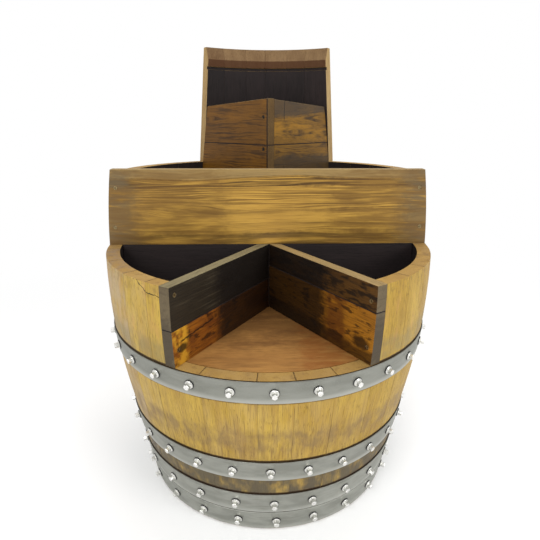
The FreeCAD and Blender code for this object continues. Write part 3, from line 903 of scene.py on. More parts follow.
@dataclass
class Piece:
    """One piece on its way into the scene.

    Attributes:
        name: Name of the piece.
        nodes: Construction nodes that it stands for.
        slot: Material slot of the record; not used.
        finishes: Material for each side of it.
        side_of: Tells which side a face belongs to, from its middle and its normal.
        grain_of: Turns a point into across, along and depth in the grain, in millimetres.
        tone: Where the piece lies between its timber's two body colours.
        weather: How greyed the piece is; on a hoop, how strong the painted shade and dirt on its upper edge
            are.
        half: Half its width across the grain.
        sharp: Edges turn hard above this angle, in degrees.
    """

    name: str
    nodes: tuple[str, ...]
    slot: str
    finishes: Finishes
    side_of: SideOf = all_face
    grain_of: Callable[[Vector], Vector] = as_it_lies
    tone: float = 0.5
    weather: float = 0.0
    half: float = 1000.0
    sharp: float = 38.0

    def place(self, bm: Mesh, cutters: Sequence[Mesh] = ()) -> None:
        """Turn a mesh in millimetres into the piece, in the scene and on its body.

        Args:
            bm: Mesh of the piece; it is used up.
            cutters: Closed meshes to cut out of it; they are used up.
        """
        piece = self._to_object(bm, self.name)
        for index, cutter in enumerate(cutters):
            self._cut(piece, self._to_object(cutter, f"{self.name}_cutter_{index}"))
        self._dress(piece)
        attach(piece, ROOT)
        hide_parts(*self.nodes)
        LOG.info("%s: %d faces, for %s", self.name, len(piece.data.polygons), ", ".join(self.nodes))

    @staticmethod
    def _to_object(bm: Mesh, name: str) -> bpy.types.Object:
        """Turn a mesh in millimetres into a scene object in metres.

        Args:
            bm: The mesh; it is used up.
            name: Name of the object.

        Returns:
            The object, with its normals outwards.
        """
        bmesh.ops.recalc_face_normals(bm, faces=bm.faces)
        bmesh.ops.transform(bm, matrix=Matrix.Scale(MM, 4), verts=bm.verts)
        mesh = bpy.data.meshes.new(name)
        bm.to_mesh(mesh)
        bm.free()
        return to_scene(name, mesh)

    @staticmethod
    def _cut(piece: bpy.types.Object, cutter: bpy.types.Object) -> None:
        """Cut one closed mesh out of the piece.

        Args:
            piece: Object that is cut.
            cutter: Object that cuts; it is used up.
        """
        modifier = piece.modifiers.new("cut", "BOOLEAN")
        modifier.operation = "DIFFERENCE"
        modifier.solver = "EXACT"
        modifier.object = cutter
        shown = piece.evaluated_get(bpy.context.evaluated_depsgraph_get())
        cut_mesh = bpy.data.meshes.new_from_object(shown)
        piece.modifiers.clear()
        old_mesh, piece.data = piece.data, cut_mesh
        bpy.data.meshes.remove(old_mesh)
        bpy.data.objects.remove(cutter)

    def _dress(self, piece: bpy.types.Object) -> None:
        """Give the mesh its materials, its grain and its smooth and hard edges.

        Args:
            piece: Object that holds the mesh.
        """
        mesh = piece.data
        mesh.name = self.name
        sides = list(self.finishes)
        mesh.materials.clear()
        for side in sides:
            mesh.materials.append(self.finishes[side])
        for face in mesh.polygons:
            side = self.side_of(face.center / MM, face.normal)
            face.material_index = sides.index(side) if side in sides else 0
            face.use_smooth = True
        mesh.set_sharp_from_angle(angle=math.radians(self.sharp))
        grain = mesh.attributes.new("grain", "FLOAT_VECTOR", "POINT")
        values = [value for vertex in mesh.vertices for value in self.grain_of(vertex.co / MM)]
        grain.data.foreach_set("vector", values)
        for name, value in (("tone", self.tone), ("weather", self.weather), ("half", self.half)):
            attribute = mesh.attributes.new(name, "FLOAT", "POINT")
            attribute.data.foreach_set("value", [value] * len(mesh.vertices))
        piece.modifiers.new("even_normals", "WEIGHTED_NORMAL").keep_sharp = True


# ---------------------------------------------------------------- the steps sawn into the barrel
@dataclass(frozen=True)
class Steps:
    """Heights and cuts that the steps share, in millimetres and degrees.

    Angles are counted from the plane x = 0. fit is the clearance between a board and the staves, and
    far a distance well outside the barrel.
    """

    board: float = 22.0
    tier_front: float = 30.0
    notch_angle: float = 32.0
    prow_setback: float = 84.0
    prow_angle: float = 45.0
    prow_fall: float = 3.5
    fit: float = 0.5
    far: float = 900.0
    deck: float = field(default_factory=lambda: heights("deck_boards")[1])
    well_rim: float = field(default_factory=lambda: heights("tier_board")[0])
    tier_rim: float = field(default_factory=lambda: heights("tier_board")[1])
    prow_rim: float = field(default_factory=lambda: heights("prow_upper_board_left")[1])

    def notch_corner(self, offset: float) -> float:
        """Return the y value where the notch's two planes meet, moved out by offset."""
        return -self.tier_front + offset / math.sin(math.radians(self.notch_angle))

    def notch_wedge(self, z_low: float, z_high: float) -> Mesh:
        """Find the room in front of the notch panels' rear faces.

        Args:
            z_low: Height of its foot.
            z_high: Height of its top.

        Returns:
            The room as a solid.
        """
        corner = self.notch_corner(self.board)
        reach = self.far * math.tan(math.radians(self.notch_angle))
        return prism(((0.0, corner), (-reach, corner - self.far), (reach, corner - self.far)), z_low, z_high)

    def front_room(self, z_low: float, z_high: float) -> Mesh:
        """Return the room in front of the tier board's rear face."""
        back, far = self.board - self.tier_front, self.far
        return prism(((-far, -far), (far, -far), (far, back), (-far, back)), z_low, z_high)


# ---------------------------------------------------------------- staves
@dataclass
class Stave:
    """One stave.

    start and end are the azimuths of its two joints, and dip is how far it stands in. joint is half
    the gap at a joint, column the width of a facet and pitch the spacing of its rings.
    """

    number: int
    start: float
    end: float
    top: float
    dip: float
    ease: float = 0.3
    joint: float = 0.03
    column: float = 11.0
    pitch: float = 26.0

    WAVE: ClassVar[float] = 0.35
    WAVE_LENGTH: ClassVar[float] = 90.0
    JOINT_SWAY: ClassVar[float] = 0.12
    JOINT_SWAY_LENGTH: ClassVar[float] = 150.0
    GROOVE_WALL: ClassVar[float] = 0.4

    @property
    def node(self) -> str:
        """Return the name of the construction node."""
        return f"stave_{self.number:02d}"

    def ring(self, z: float, shrink: float) -> list[Vector]:
        """Draw the stave's section at a height.

        Args:
            z: Height.
            shrink: How far the section is drawn in.

        Returns:
            Points of the outer arc and then of the inner one.
        """
        wave = self.WAVE * noise.noise(Vector((self.number * 3.1, 0.0, z / self.WAVE_LENGTH)))
        sway = self.JOINT_SWAY * noise.noise(Vector((self.number * 1.7, 5.0, z / self.JOINT_SWAY_LENGTH)))
        outer = BARREL.radius(z) - self.dip - shrink + min(0.0, wave)
        inner = BARREL.inner_radius(z) + shrink
        gap = math.degrees((self.joint + shrink) / outer)
        start, end = self.start + gap + max(0.0, sway), self.end - gap + min(0.0, sway)
        return self._arc(outer, 1.0, start, end, z) + self._arc(inner, -1.0, end, start, z)

    def _arc(self, radius: float, inward: float, start: float, end: float, z: float) -> list[Vector]:
        """Draw one arc of the section with both its corners eased.

        Args:
            radius: Radius of the arc.
            inward: 1 where the wood lies inside the arc, -1 where it lies outside.
            start: First azimuth.
            end: Last azimuth.
            z: Height.

        Returns:
            Points of the arc.
        """
        columns = max(3, round(math.radians(self.end - self.start) * BARREL.bilge_radius / self.column))
        turn = math.degrees(self.ease / radius) * (1.0 if end > start else -1.0)
        low, high = radius - inward * self.ease, radius - inward * self.ease * ROUNDING
        points = [polar(low, start, z), polar(high, start + turn * ROUNDING, z)]
        for column in range(columns + 1):
            points.append(polar(radius, start + turn + (end - start - 2.0 * turn) * column / columns, z))
        return points + [polar(high, end - turn * ROUNDING, z), polar(low, end, z)]

    def mesh(self) -> Mesh:
        """Return the stave before its step is sawn."""
        low, high = BARREL.croze_from_end, BARREL.croze_from_end + BARREL.croze_width
        walls = [edge + side for edge in (low, high) for side in (-self.GROOVE_WALL, self.GROOVE_WALL)]
        marks = [BARREL.chime_height, *walls]
        marks += [BARREL.height - mark for mark in marks]
        bm = bmesh.new()
        loft(bm, [self.ring(z, shrink) for z, shrink in upright(0.0, self.top, self.ease, self.pitch, marks)])
        return bm

    def grain(self, point: Vector) -> Vector:
        """Find a point's place in the grain; each stave comes from another part of the tree.

        Args:
            point: The point.

        Returns:
            Its place across and along the grain and into the wood.
        """
        turn = turned_back(azimuth_of(point) - (self.start + self.end) / 2.0)
        across = math.radians(turn) * BARREL.bilge_radius
        depth = BARREL.radius(min(max(point.z, 0.0), BARREL.height)) - math.hypot(point.x, point.y)
        return Vector((across, point.z + self.number * BETWEEN_STAVES, depth))

    def side(self, middle: Vector, normal: Vector) -> Side:
        """Tell outside, sawn, inner, joint and chime faces apart.

        Args:
            middle: Middle of the face.
            normal: Its normal.

        Returns:
            The side that the face belongs to.
        """
        outward = normal.dot(polar(1.0, azimuth_of(middle)))
        if abs(normal.z) > 0.9:
            return Side.CUT
        if abs(outward) < 0.2:
            return Side.EDGE
        if outward > 0.0:
            return Side.FACE
        from_end = min(middle.z, BARREL.height - middle.z)
        return Side.CHIME if from_end < BARREL.croze_from_end + 0.5 else Side.INSIDE


@dataclass
class StaveSet:
    """All the staves of the barrel, stepped as the cabinet is.

    The widths are in degrees, in order round the barrel from the one that first is the start of.
    """

    steps: Steps
    first: float = -21.6
    front: tuple[float, ...] = (16.7, 10.8, 12.1, 13.0)
    right: tuple[float, ...] = (12.4, 11.6, 13.4, 15.2, 12.4, 12.9, 13.1, 11.7, 12.6)
    back: tuple[float, ...] = (12.2, 10.1, 11.9, 10.4, 12.1, 9.7)
    left: tuple[float, ...] = (14.9, 12.6, 12.7, 12.1, 15.6, 15.3, 14.6, 11.2, 16.7)
    tones: dict[int, float] = field(default_factory=lambda: {
        1: 0.5, 2: 0.4, 3: 0.65, 4: 0.45, 5: 0.6, 6: 0.4, 7: 0.8, 26: 0.6, 27: 0.05, 28: 0.3})
    weathers: dict[int, float] = field(default_factory=lambda: {
        1: 0.25, 2: 0.2, 3: 0.2, 4: 0.15, 5: 0.0, 6: 0.05, 7: 0.1, 25: 0.9, 26: 0.9, 27: 0.3, 28: 0.12})

    def staves(self) -> list[Stave]:
        """Return every stave in order round the barrel."""
        draw = random.Random(7)
        azimuth = self.first
        found = []
        for number, width in enumerate(self.front + self.right + self.back + self.left, start=1):
            top = heights(f"stave_{number:02d}")[1]
            found.append(Stave(number, azimuth, azimuth + width, top, draw.uniform(0.0, 0.6)))
            azimuth += width
        return found

    def cutters(self, stave: Stave) -> list[Mesh]:
        """Return what is sawn out of a stave that stands across the edge of a step.

        Args:
            stave: The stave.

        Returns:
            One closed mesh, or none.
        """
        steps = self.steps
        # Azimuths where the panels' rear faces and the tier board's rear face cross the bilge.
        edge = math.degrees(math.atan2(steps.notch_corner(steps.board), BARREL.bilge_radius))
        notch = steps.notch_angle + math.degrees(
            math.radians(edge) * math.sin(math.radians(steps.notch_angle)))
        side = 90.0 - math.degrees(math.asin((steps.tier_front - steps.board) / BARREL.bilge_radius))
        start, end = turned_back(stave.start), turned_back(stave.end)
        ceiling = BARREL.height + steps.board
        if stave.top < BARREL.height and any(start < sign * notch < end for sign in (-1.0, 1.0)):
            return [steps.notch_wedge(steps.deck, ceiling)]
        if stave.top < BARREL.height and any(start < sign * side < end for sign in (-1.0, 1.0)):
            return [steps.front_room(steps.well_rim, ceiling)]
        return []

    def build(self, finishes: Finishes) -> None:
        """Build and dress every stave.

        Args:
            finishes: Material for each side of a stave.
        """
        draw = random.Random(11)
        for stave in self.staves():
            tone = self.tones.get(stave.number, draw.uniform(0.2, 0.9))
            weather = self.weathers.get(stave.number, draw.uniform(0.2, 0.7))
            half = math.radians(stave.end - stave.start) * BARREL.bilge_radius / 2.0
            piece = Piece(f"oak_{stave.node}", (stave.node,), "stave_oak", finishes, stave.side, stave.grain,
                          tone, weather, half)
            piece.place(stave.mesh(), self.cutters(stave))


# ---------------------------------------------------------------- boards
class Hand(Enum):
    """Left or right, seen from the front; the value is the sign of X there."""

    LEFT = -1.0
    RIGHT = 1.0


class Level(Enum):
    """Lower or upper board of a panel."""

    LOWER = "lower"
    UPPER = "upper"


PanelFinishes = dict[tuple[Level, Hand], Finishes]


@dataclass
class Board:
    """A board whose plan is convex and may change with height.

    plan gives its corners at a height, along and up are the directions along and across its grain, and
    the grain and the fall count from origin. fall is how much its upper edge falls for each millimetre.
    """

    plan: Callable[[float], Outline]
    low: float
    high: float
    along: Vector
    up: Vector = field(default_factory=UP.copy)
    origin: Vector = field(default_factory=Vector)
    ease: float = 1.1
    fall: float = 0.0
    pitch: float = 30.0

    def mesh(self) -> Mesh:
        """Return the board with eased edges."""
        bm = bmesh.new()
        loft(bm, [[point + UP * z for point in eased_outline(self.plan(z), self.ease, shrink)]
                  for z, shrink in upright(self.low, self.high, self.ease, self.pitch)])
        for vert in bm.verts:
            share = (vert.co.z - self.low) / (self.high - self.low)
            vert.co.z -= self.fall * max(0.0, (vert.co - self.origin).dot(self.along)) * share
        return bm

    def grain(self, point: Vector) -> Vector:
        """Return a point's place in the grain."""
        place, through = point - self.origin, self.along.cross(self.up)
        return Vector((place.dot(self.up), place.dot(self.along), place.dot(through)))

    def build(self, node: str, slot: str, finishes: Finishes, side_of: SideOf,
              holes: Sequence[Mesh] = ()) -> None:
        """Build and dress the board; the seats of its screws are used up."""
        Piece(f"oak_{node}", (node,), slot, finishes, side_of, self.grain).place(self.mesh(), holes)


def in_seam(level: Level, normal: Vector) -> bool:
    """Tell whether a face lies in the seam between a lower and an upper board."""
    return normal.z > 0.2 if level is Level.LOWER else normal.z < -0.2


def on_shell(start: Vector, direction: Vector, radius: float) -> Vector:
    """Find where a level line that starts inside a circle about the axis leaves it.

    Args:
        start: Start of the line.
        direction: Its direction, as a unit vector.
        radius: Radius of the circle.

    Returns:
        The point on the circle.
    """
    middle = start.x * direction.x + start.y * direction.y
    gap = start.x ** 2 + start.y ** 2 - radius ** 2
    return start + direction * (-middle + math.sqrt(middle ** 2 - gap))


@dataclass
class ScrewHead:
    """A countersunk wood screw with a cross recess, seen in the face of a board.

    sunk is how far it lies below the board's face, and taper the size of the recess's floor against
    its mouth.
    """

    seat: Vector
    inward: Vector
    radius: float = 4.0
    depth: float = 3.0
    clearance: float = 0.3
    sunk: float = 0.35
    arm: float = 2.48
    half_arm: float = 0.6
    recess: float = 2.2
    taper: float = 0.6
    shank: float = 1.9
    sides: int = 28

    def matrix(self) -> Matrix:
        """Return the place of the head: its face at the seat, its shank along +Z inwards."""
        turn = self.inward.to_track_quat("Z", "Y").to_matrix().to_4x4()
        return Matrix.Translation(self.seat) @ turn

    def hole(self) -> Mesh:
        """Return the countersink to cut in the board."""
        wide = self.radius + self.clearance
        rings = ((wide, -1.0), (wide, 0.4), (wide - 1.6, self.depth))
        bm = bmesh.new()
        loft(bm, [circle(radius, self.sides, z) for radius, z in rings])
        bmesh.ops.transform(bm, matrix=self.matrix(), verts=bm.verts)
        return bm

    def head(self, bm: Mesh, spin: float) -> None:
        """Add the head to a mesh.

        Args:
            bm: Mesh that takes it.
            spin: Turn of its recess, in radians.
        """
        arm, half, top = self.arm, self.half_arm, self.sunk
        cross = [(half, half), (half, arm), (-half, arm), (-half, half), (-arm, half), (-arm, -half),
                 (-half, -half), (-half, -arm), (half, -arm), (half, -half), (arm, -half), (arm, half)]
        angles = [math.atan2(y, x) for x, y in cross]
        round_rings = ((self.radius - 0.25, top + 0.12), (self.radius, top + 0.5), (self.shank, self.depth))
        rings = [[Vector((x * self.taper, y * self.taper, top + self.recess)) for x, y in cross],
                 [Vector((x, y, top)) for x, y in cross]]
        rings += [[Vector((radius * math.cos(a), radius * math.sin(a), z)) for a in angles]
                  for radius, z in round_rings]
        own = bmesh.new()
        loft(own, rings)
        bmesh.ops.transform(own, matrix=self.matrix() @ Matrix.Rotation(spin, 4, "Z"), verts=own.verts)
        join(bm, own)


@dataclass
class Panels:
    """Two boarded sides that meet in a corner, each of a lower and an upper board.

    angle lies between a side and the plane x = 0, and rim_fall is for each millimetre from the corner.
    """

    steps: Steps

    corner: Vector = field(init=False)
    angle: float = field(init=False)
    rim_fall: float = field(init=False, default=0.0)

    KIND: ClassVar[str]
    # 1 where the sides run backwards from their corner, and -1 where they run forwards.
    RUN: ClassVar[float]

    def plan(self, hand: Hand, z: float) -> Outline:
        """Return the corners of one side's boards at a height, counter-clockwise seen from above."""
        raise NotImplementedError

    def screws(self, hand: Hand) -> list[ScrewHead]:
        """Return the screws in one side's boards."""
        raise NotImplementedError

    def upright_side(self, hand: Hand, middle: Vector, normal: Vector) -> Side:
        """Return the side that an upright face belongs to."""
        raise NotImplementedError

    def direction(self, hand: Hand) -> tuple[Vector, Vector]:
        """Find how a side lies.

        Args:
            hand: Left or right side.

        Returns:
            Unit vectors along it from the corner and square to it, into the wood.
        """
        sign, turn = hand.value, math.radians(self.angle)
        return (Vector((sign * math.sin(turn), self.RUN * math.cos(turn), 0.0)),
                Vector((-self.RUN * sign * math.cos(turn), math.sin(turn), 0.0)))

    def side(self, hand: Hand, level: Level, middle: Vector, normal: Vector) -> Side:
        """Tell a board's seam, its sawn upper edge and its upright faces apart.

        Args:
            hand: Left or right side.
            level: Lower or upper board.
            middle: Middle of the face.
            normal: Its normal.

        Returns:
            The side that the face belongs to.
        """
        if in_seam(level, normal):
            return Side.INSIDE
        return Side.CUT if normal.z > LOOKING else self.upright_side(hand, middle, normal)

    def build(self, finishes: PanelFinishes) -> list[ScrewHead]:
        """Build the four boards.

        Args:
            finishes: Materials of each board.

        Returns:
            Their screws.
        """
        screws = []
        for hand in Hand:
            along, row = self.direction(hand)[0], self.screws(hand)
            screws += row
            for level in Level:
                node = f"{self.KIND}_{level.value}_board_{hand.name.lower()}"
                low, high = heights(node)
                fall = self.rim_fall if level is Level.UPPER else 0.0
                # A board that starts away from the corner is drawn higher, by what its rim falls first.
                reaches = [(Vector((x, y, 0.0)) - self.corner).dot(along) for x, y in self.plan(hand, high)]
                board = Board(partial(self.plan, hand), low, high + fall * max(0.0, min(reaches)), along,
                              origin=self.corner + UP * low, fall=fall)
                board.build(node, f"{self.KIND}_oak", finishes[level, hand], partial(self.side, hand, level),
                            [screw.hole() for screw in row if low < screw.seat.z < high])
        return screws


@dataclass
class NotchPanels(Panels):
    """The two boarded sides of the front notch, with the heights of their screws above the deck."""

    left_screws: tuple[float, float] = (31.0, 132.0)
    right_screws: tuple[float, float] = (31.0, 118.0)

    KIND: ClassVar[str] = "notch"
    RUN: ClassVar[float] = -1.0

    def __post_init__(self) -> None:
        """Take the corner and the angle from the steps."""
        self.corner, self.angle = Vector((0.0, -self.steps.tier_front, 0.0)), self.steps.notch_angle

    def plan(self, hand: Hand, z: float) -> Outline:
        """Draw the plan of one side's boards, whose outer ends carry on the barrel's outside.

        Args:
            hand: Left or right side.
            z: Height.

        Returns:
            Its corners, counter-clockwise seen from above.
        """
        along, into = self.direction(hand)
        near, square = self.corner, self.corner + into * self.steps.board
        rear = square + along * ((near.y - square.y) / along.y)
        ends = [on_shell(start, along, BARREL.radius(z)) for start in (near, square)]
        corners = [near, *ends, rear]
        return [(corner.x, corner.y) for corner in (corners if hand is Hand.LEFT else reversed(corners))]

    def screws(self, hand: Hand) -> list[ScrewHead]:
        """Place the screws through a side into the stave beside it.

        Args:
            hand: Left or right side.

        Returns:
            The screws, the lowest first.
        """
        along, into = self.direction(hand)
        found = []
        for height in self.left_screws if hand is Hand.LEFT else self.right_screws:
            z = self.steps.deck + height
            middle = BARREL.radius(z, BARREL.stave_thickness / 2.0)
            found.append(ScrewHead(on_shell(self.corner + UP * z, along, middle), into))
        return found

    def upright_side(self, hand: Hand, middle: Vector, normal: Vector) -> Side:
        """Tell a board's weathered outer end, its rear and its face apart.

        Args:
            hand: Left or right side.
            middle: Middle of the face.
            normal: Its normal.

        Returns:
            The side that the face belongs to.
        """
        along, into = self.direction(hand)
        if normal.dot(along) > 0.5 and math.hypot(middle.x, middle.y) > BARREL.head_radius:
            return Side.CHIME
        return Side.INSIDE if normal.dot(into) > LOOKING else Side.FACE


@dataclass
class TierBoards:
    """The board across the middle tier and the one below it, behind the wells."""

    steps: Steps
    screw_edge: float = 38.0

    def plan(self, inset: float, z: float) -> Outline:
        """Draw a board's plan.

        Args:
            inset: How far inside the staves' outside its ends lie.
            z: Height.

        Returns:
            Its corners, counter-clockwise seen from above.
        """
        front, back = -self.steps.tier_front, self.steps.board - self.steps.tier_front
        wide, narrow = (math.sqrt(BARREL.radius(z, inset) ** 2 - y ** 2) for y in (front, back))
        return ((-wide, front), (wide, front), (narrow, back), (-narrow, back))

    def screws(self) -> list[ScrewHead]:
        """Return the screws through the tier board into the staves behind it."""
        steps = self.steps
        found = []
        for z in (steps.well_rim + self.screw_edge, steps.tier_rim - self.screw_edge):
            reach = math.sqrt(BARREL.radius(z, BARREL.stave_thickness / 2.0) ** 2 - steps.tier_front ** 2)
            found += [ScrewHead(Vector((hand.value * reach, -steps.tier_front, z)), Vector((0.0, 1.0, 0.0)))
                      for hand in Hand]
        return found

    def build(self, tier: Finishes, dark: Finishes) -> list[ScrewHead]:
        """Build both boards.

        Args:
            tier: Materials of the tier board.
            dark: Materials of the board behind the wells.

        Returns:
            The tier board's screws.
        """
        steps, screws = self.steps, self.screws()
        seats, behind = [screw.hole() for screw in screws], BARREL.stave_thickness + steps.fit
        for node, slot, inset, low, high, finishes, holes in (
                ("tier_board", "board_oak", 0.0, steps.well_rim, steps.tier_rim, tier, seats),
                ("well_back_board", "notch_oak", behind, steps.deck, steps.well_rim, dark, [])):
            board = Board(partial(self.plan, inset), low, high, Vector((1.0, 0.0, 0.0)),
                          origin=Vector((0.0, -steps.tier_front, low)))
            board.build(node, slot, finishes, top_is_cut, holes)
        return screws


@dataclass
class Prow(Panels):
    """The two boarded faces in front of the top tier, with the places of their screws."""

    screw_drops: tuple[float, float] = (39.5, 109.5)
    screw_edge: float = 14.0

    KIND: ClassVar[str] = "prow"
    RUN: ClassVar[float] = 1.0

    def __post_init__(self) -> None:
        """Take the corner, the angle and the fall from the steps."""
        self.corner, self.angle = Vector((0.0, self.steps.prow_setback, 0.0)), self.steps.prow_angle
        self.rim_fall = math.tan(math.radians(self.steps.prow_fall))

    def plan(self, hand: Hand, z: float) -> Outline:
        """Draw the plan of one face's boards; the left ones run through to the corner.

        Args:
            hand: Left or right face.
            z: Height.

        Returns:
            Its corners, counter-clockwise seen from above.
        """
        along, inward = self.direction(hand)
        outer = self.corner + along * (0.0 if hand is Hand.LEFT else self.steps.board)
        inner = outer + inward * self.steps.board
        radius = BARREL.radius(z, BARREL.stave_thickness + self.steps.fit)
        corners = [outer, inner, on_shell(inner, along, radius), on_shell(outer, along, radius)]
        return [(corner.x, corner.y) for corner in (corners if hand is Hand.LEFT else reversed(corners))]

    def screws(self, hand: Hand) -> list[ScrewHead]:
        """Place the screws through the left boards into the ends of the right ones.

        Args:
            hand: Left or right face.

        Returns:
            The screws, the highest first.
        """
        along, inward = self.direction(hand)
        drops = self.screw_drops if hand is Hand.LEFT else ()
        start = self.corner + along * self.screw_edge
        return [ScrewHead(start + UP * (self.steps.prow_rim - drop), inward) for drop in drops]

    def upright_side(self, hand: Hand, middle: Vector, normal: Vector) -> Side:
        """Tell the end grain at the corner from a board's faces."""
        return Side.CHIME if normal.dot(self.direction(hand)[0]) < -LOOKING else Side.FACE


@dataclass
class DeckBoards:
    """The round deck, level with the front staves' sawn tops."""

    steps: Steps
    boards: int = 3
    joint: float = 0.35
    shrinkage: float = 1.1
    ease: float = 0.4
    arc_count: int = 14

    @property
    def board_width(self) -> float:
        """Return the width of each board."""
        return 2.0 * BARREL.radius(self.steps.deck, BARREL.stave_thickness + self.steps.fit) / self.boards

    def plan(self, y_low: float, y_high: float, z: float) -> Outline:
        """Draw one board's plan: two straight edges and two arcs against the staves.

        Args:
            y_low: Front edge.
            y_high: Rear edge.
            z: Height.

        Returns:
            Its corners, counter-clockwise seen from above.
        """
        radius = BARREL.radius(z, BARREL.stave_thickness + self.steps.fit) - self.shrinkage
        widest = radius * 0.9999
        edges = (max(y_low, -widest) + self.joint, min(y_high, widest) - self.joint)
        low, high = (math.degrees(math.asin(y / radius)) for y in edges)
        right = [low + (high - low) * step / self.arc_count for step in range(self.arc_count + 1)]
        points = [(radius * math.cos(math.radians(a)), radius * math.sin(math.radians(a))) for a in right]
        return points + [(-x, y) for x, y in reversed(points)]

    def grain(self, point: Vector) -> Vector:
        """Return a point's place in the grain; each board comes from another part of the tree."""
        row = math.floor(point.y / self.board_width + 0.5)
        return Vector((point.y, point.x + row * BETWEEN_DECK_BOARDS, point.z))

    def build(self, finishes: Finishes) -> None:
        """Build the deck as one piece.

        Args:
            finishes: Material for each side of it.
        """
        low, high = heights("deck_boards")
        bm = bmesh.new()
        for row in range(self.boards):
            front = (row - self.boards / 2.0) * self.board_width
            board = Board(partial(self.plan, front, front + self.board_width), low, high,
                          Vector((1.0, 0.0, 0.0)), Vector((0.0, 1.0, 0.0)), ease=self.ease)
            join(bm, board.mesh())
        Piece("oak_deck_boards", ("deck_boards",), "deck_oak", finishes, top_is_cut, self.grain).place(bm)


# ---------------------------------------------------------------- hoops and their fasteners
@dataclass
class Hoop:
    """A hoop of strip steel with a riveted lap at the back, and its row of screws.

    first_screw is an azimuth. lap_angle, and joggle, over which the strip climbs on to its own start,
    are in degrees, and rows counts the points across its face.
    """

    node: str
    screw_count: int
    first_screw: float
    dull: float = 0.0
    # dirt also sets how strong the painted shade on the strip's upper edge is.
    dirt: float = 1.0
    thickness: float = 2.0
    gap: float = 0.3
    lap_angle: float = 9.0
    joggle: float = 1.3
    ease: float = 0.6
    rivet_edge: float = 11.0
    segments: int = 270
    rows: int = 3
    low: float = field(init=False)
    high: float = field(init=False)

    EDGE_SWAY: ClassVar[float] = 0.35
    DENT: ClassVar[float] = 0.12
    GRAIN_SHIFT: ClassVar[float] = 40.0

    def __post_init__(self) -> None:
        """Take the hoop's edges from its node."""
        self.low, self.high = heights(self.node)

    @property
    def level(self) -> float:
        """Return the height of the strip's middle."""
        return (self.low + self.high) / 2.0

    @property
    def seed(self) -> float:
        """Return where the strip's unevenness starts in the noise: the length of its node's name."""
        return float(len(self.node))

    @property
    def lap(self) -> float:
        """Return the azimuth of the lap's middle, half way between two screws."""
        pitch = 360.0 / self.screw_count
        return self.first_screw + (math.floor((180.0 - self.first_screw) / pitch) + 0.5) * pitch

    def slope(self) -> tuple[float, float]:
        """Return the radius half way up the strip and how fast it grows with height."""
        low, high = BARREL.radius(self.low), BARREL.radius(self.high)
        return (low + high) / 2.0, (high - low) / (self.high - self.low)

    def section(self, azimuth: float, lift: float) -> list[Vector]:
        """Draw the strip's section.

        Args:
            azimuth: Where round the barrel it is cut.
            lift: How far it is raised off the staves.

        Returns:
            Points round the section.
        """
        middle, growth = self.slope()
        ease, far, low, high = self.ease, self.thickness - self.ease, self.low, self.high
        turn = math.radians(azimuth % 360.0)
        sway = self.EDGE_SWAY * noise.noise(Vector((turn * 6.0, self.seed, 0.0)))
        dent = self.DENT * noise.noise(Vector((turn * 15.0, self.seed, 4.0)))
        points = [(0.0, low + ease), (ease, low), (far, low), (self.thickness, low + ease)]
        points += [(self.thickness, low + ease + (high - low - 2.0 * ease) * row / (self.rows + 1))
                   for row in range(1, self.rows + 1)]
        points += [(self.thickness, high - ease), (far, high), (ease, high), (0.0, high - ease)]
        ring = []
        for out, z in points:
            z_waved = min(max(z + (sway if z > self.level else -sway * 0.5), low), high)
            radius = middle + growth * (z_waved - self.level) + self.gap + out + lift
            ring.append(polar(radius + (min(0.0, dent) if out > 0.0 else 0.0), azimuth, z_waved))
        return ring

    def band(self) -> Mesh:
        """Return the strip, from under the lap round the barrel to the lap's end."""
        start, turn = self.lap - self.lap_angle / 2.0, 360.0 + self.lap_angle
        rings = []
        for step in range(self.segments + 1):
            travelled = turn * step / self.segments
            rise = min(max((travelled - (360.0 - self.joggle)) / self.joggle, 0.0), 1.0)
            lift = self.thickness * rise * rise * (3.0 - 2.0 * rise)
            rings.append(self.section(start + travelled, lift))
        bm = bmesh.new()
        loft(bm, rings)
        return bm

    def grain(self, point: Vector) -> Vector:
        """Find a point's place in the strip.

        Args:
            point: The point.

        Returns:
            Its place along, up and through the strip.
        """
        along = math.radians(azimuth_of(point) % 360.0) * BARREL.bilge_radius
        out = math.hypot(point.x, point.y)
        return Vector((along + self.low * self.GRAIN_SHIFT, point.z - self.level, out))

    def seat(self, azimuth: float, lift: float = 0.0) -> Matrix:
        """Return the place of a fastener.

        Args:
            azimuth: Where round the barrel it sits.
            lift: How far it is raised off the strip's face.

        Returns:
            Its place, with +Z outwards from the strip's face and +Y up the strip.
        """
        middle, growth = self.slope()
        outward = (polar(1.0, azimuth) - UP * growth).normalized()
        upward = (polar(growth, azimuth) + UP).normalized()
        turn = Matrix((upward.cross(outward), upward, outward)).transposed().to_4x4()
        place = polar(middle + self.gap + self.thickness + lift, azimuth, self.level)
        return Matrix.Translation(place) @ turn

    def screw_seats(self) -> list[Matrix]:
        """Return the place of each screw of the row."""
        return [self.seat(self.first_screw + 360.0 * k / self.screw_count) for k in range(self.screw_count)]

    def rivet_seats(self) -> list[Matrix]:
        """Return the places of the lap's two rivets."""
        reach = (self.high - self.low) / 2.0 - self.rivet_edge
        seat = self.seat(self.lap, self.thickness)
        return [seat @ Matrix.Translation((0.0, sign * reach, 0.0)) for sign in (-1.0, 1.0)]

    def build(self) -> None:
        """Build and dress the strip."""
        half = (self.high - self.low) / 2.0
        Piece(f"steel_{self.node}", (self.node,), "hoop_steel", {Side.FACE: HOOP_STEEL.material},
              grain_of=self.grain, tone=self.dull, weather=self.dirt, half=half).place(self.band())


def turned(profile: Outline, sides: int) -> Mesh:
    """Return a closed shape turned about Z.

    Args:
        profile: Pairs of a radius above zero and a height, from the foot to the top.
        sides: Number of flats round it.

    Returns:
        The mesh.
    """
    bm = bmesh.new()
    loft(bm, [circle(radius, sides, z) for radius, z in profile])
    return bm


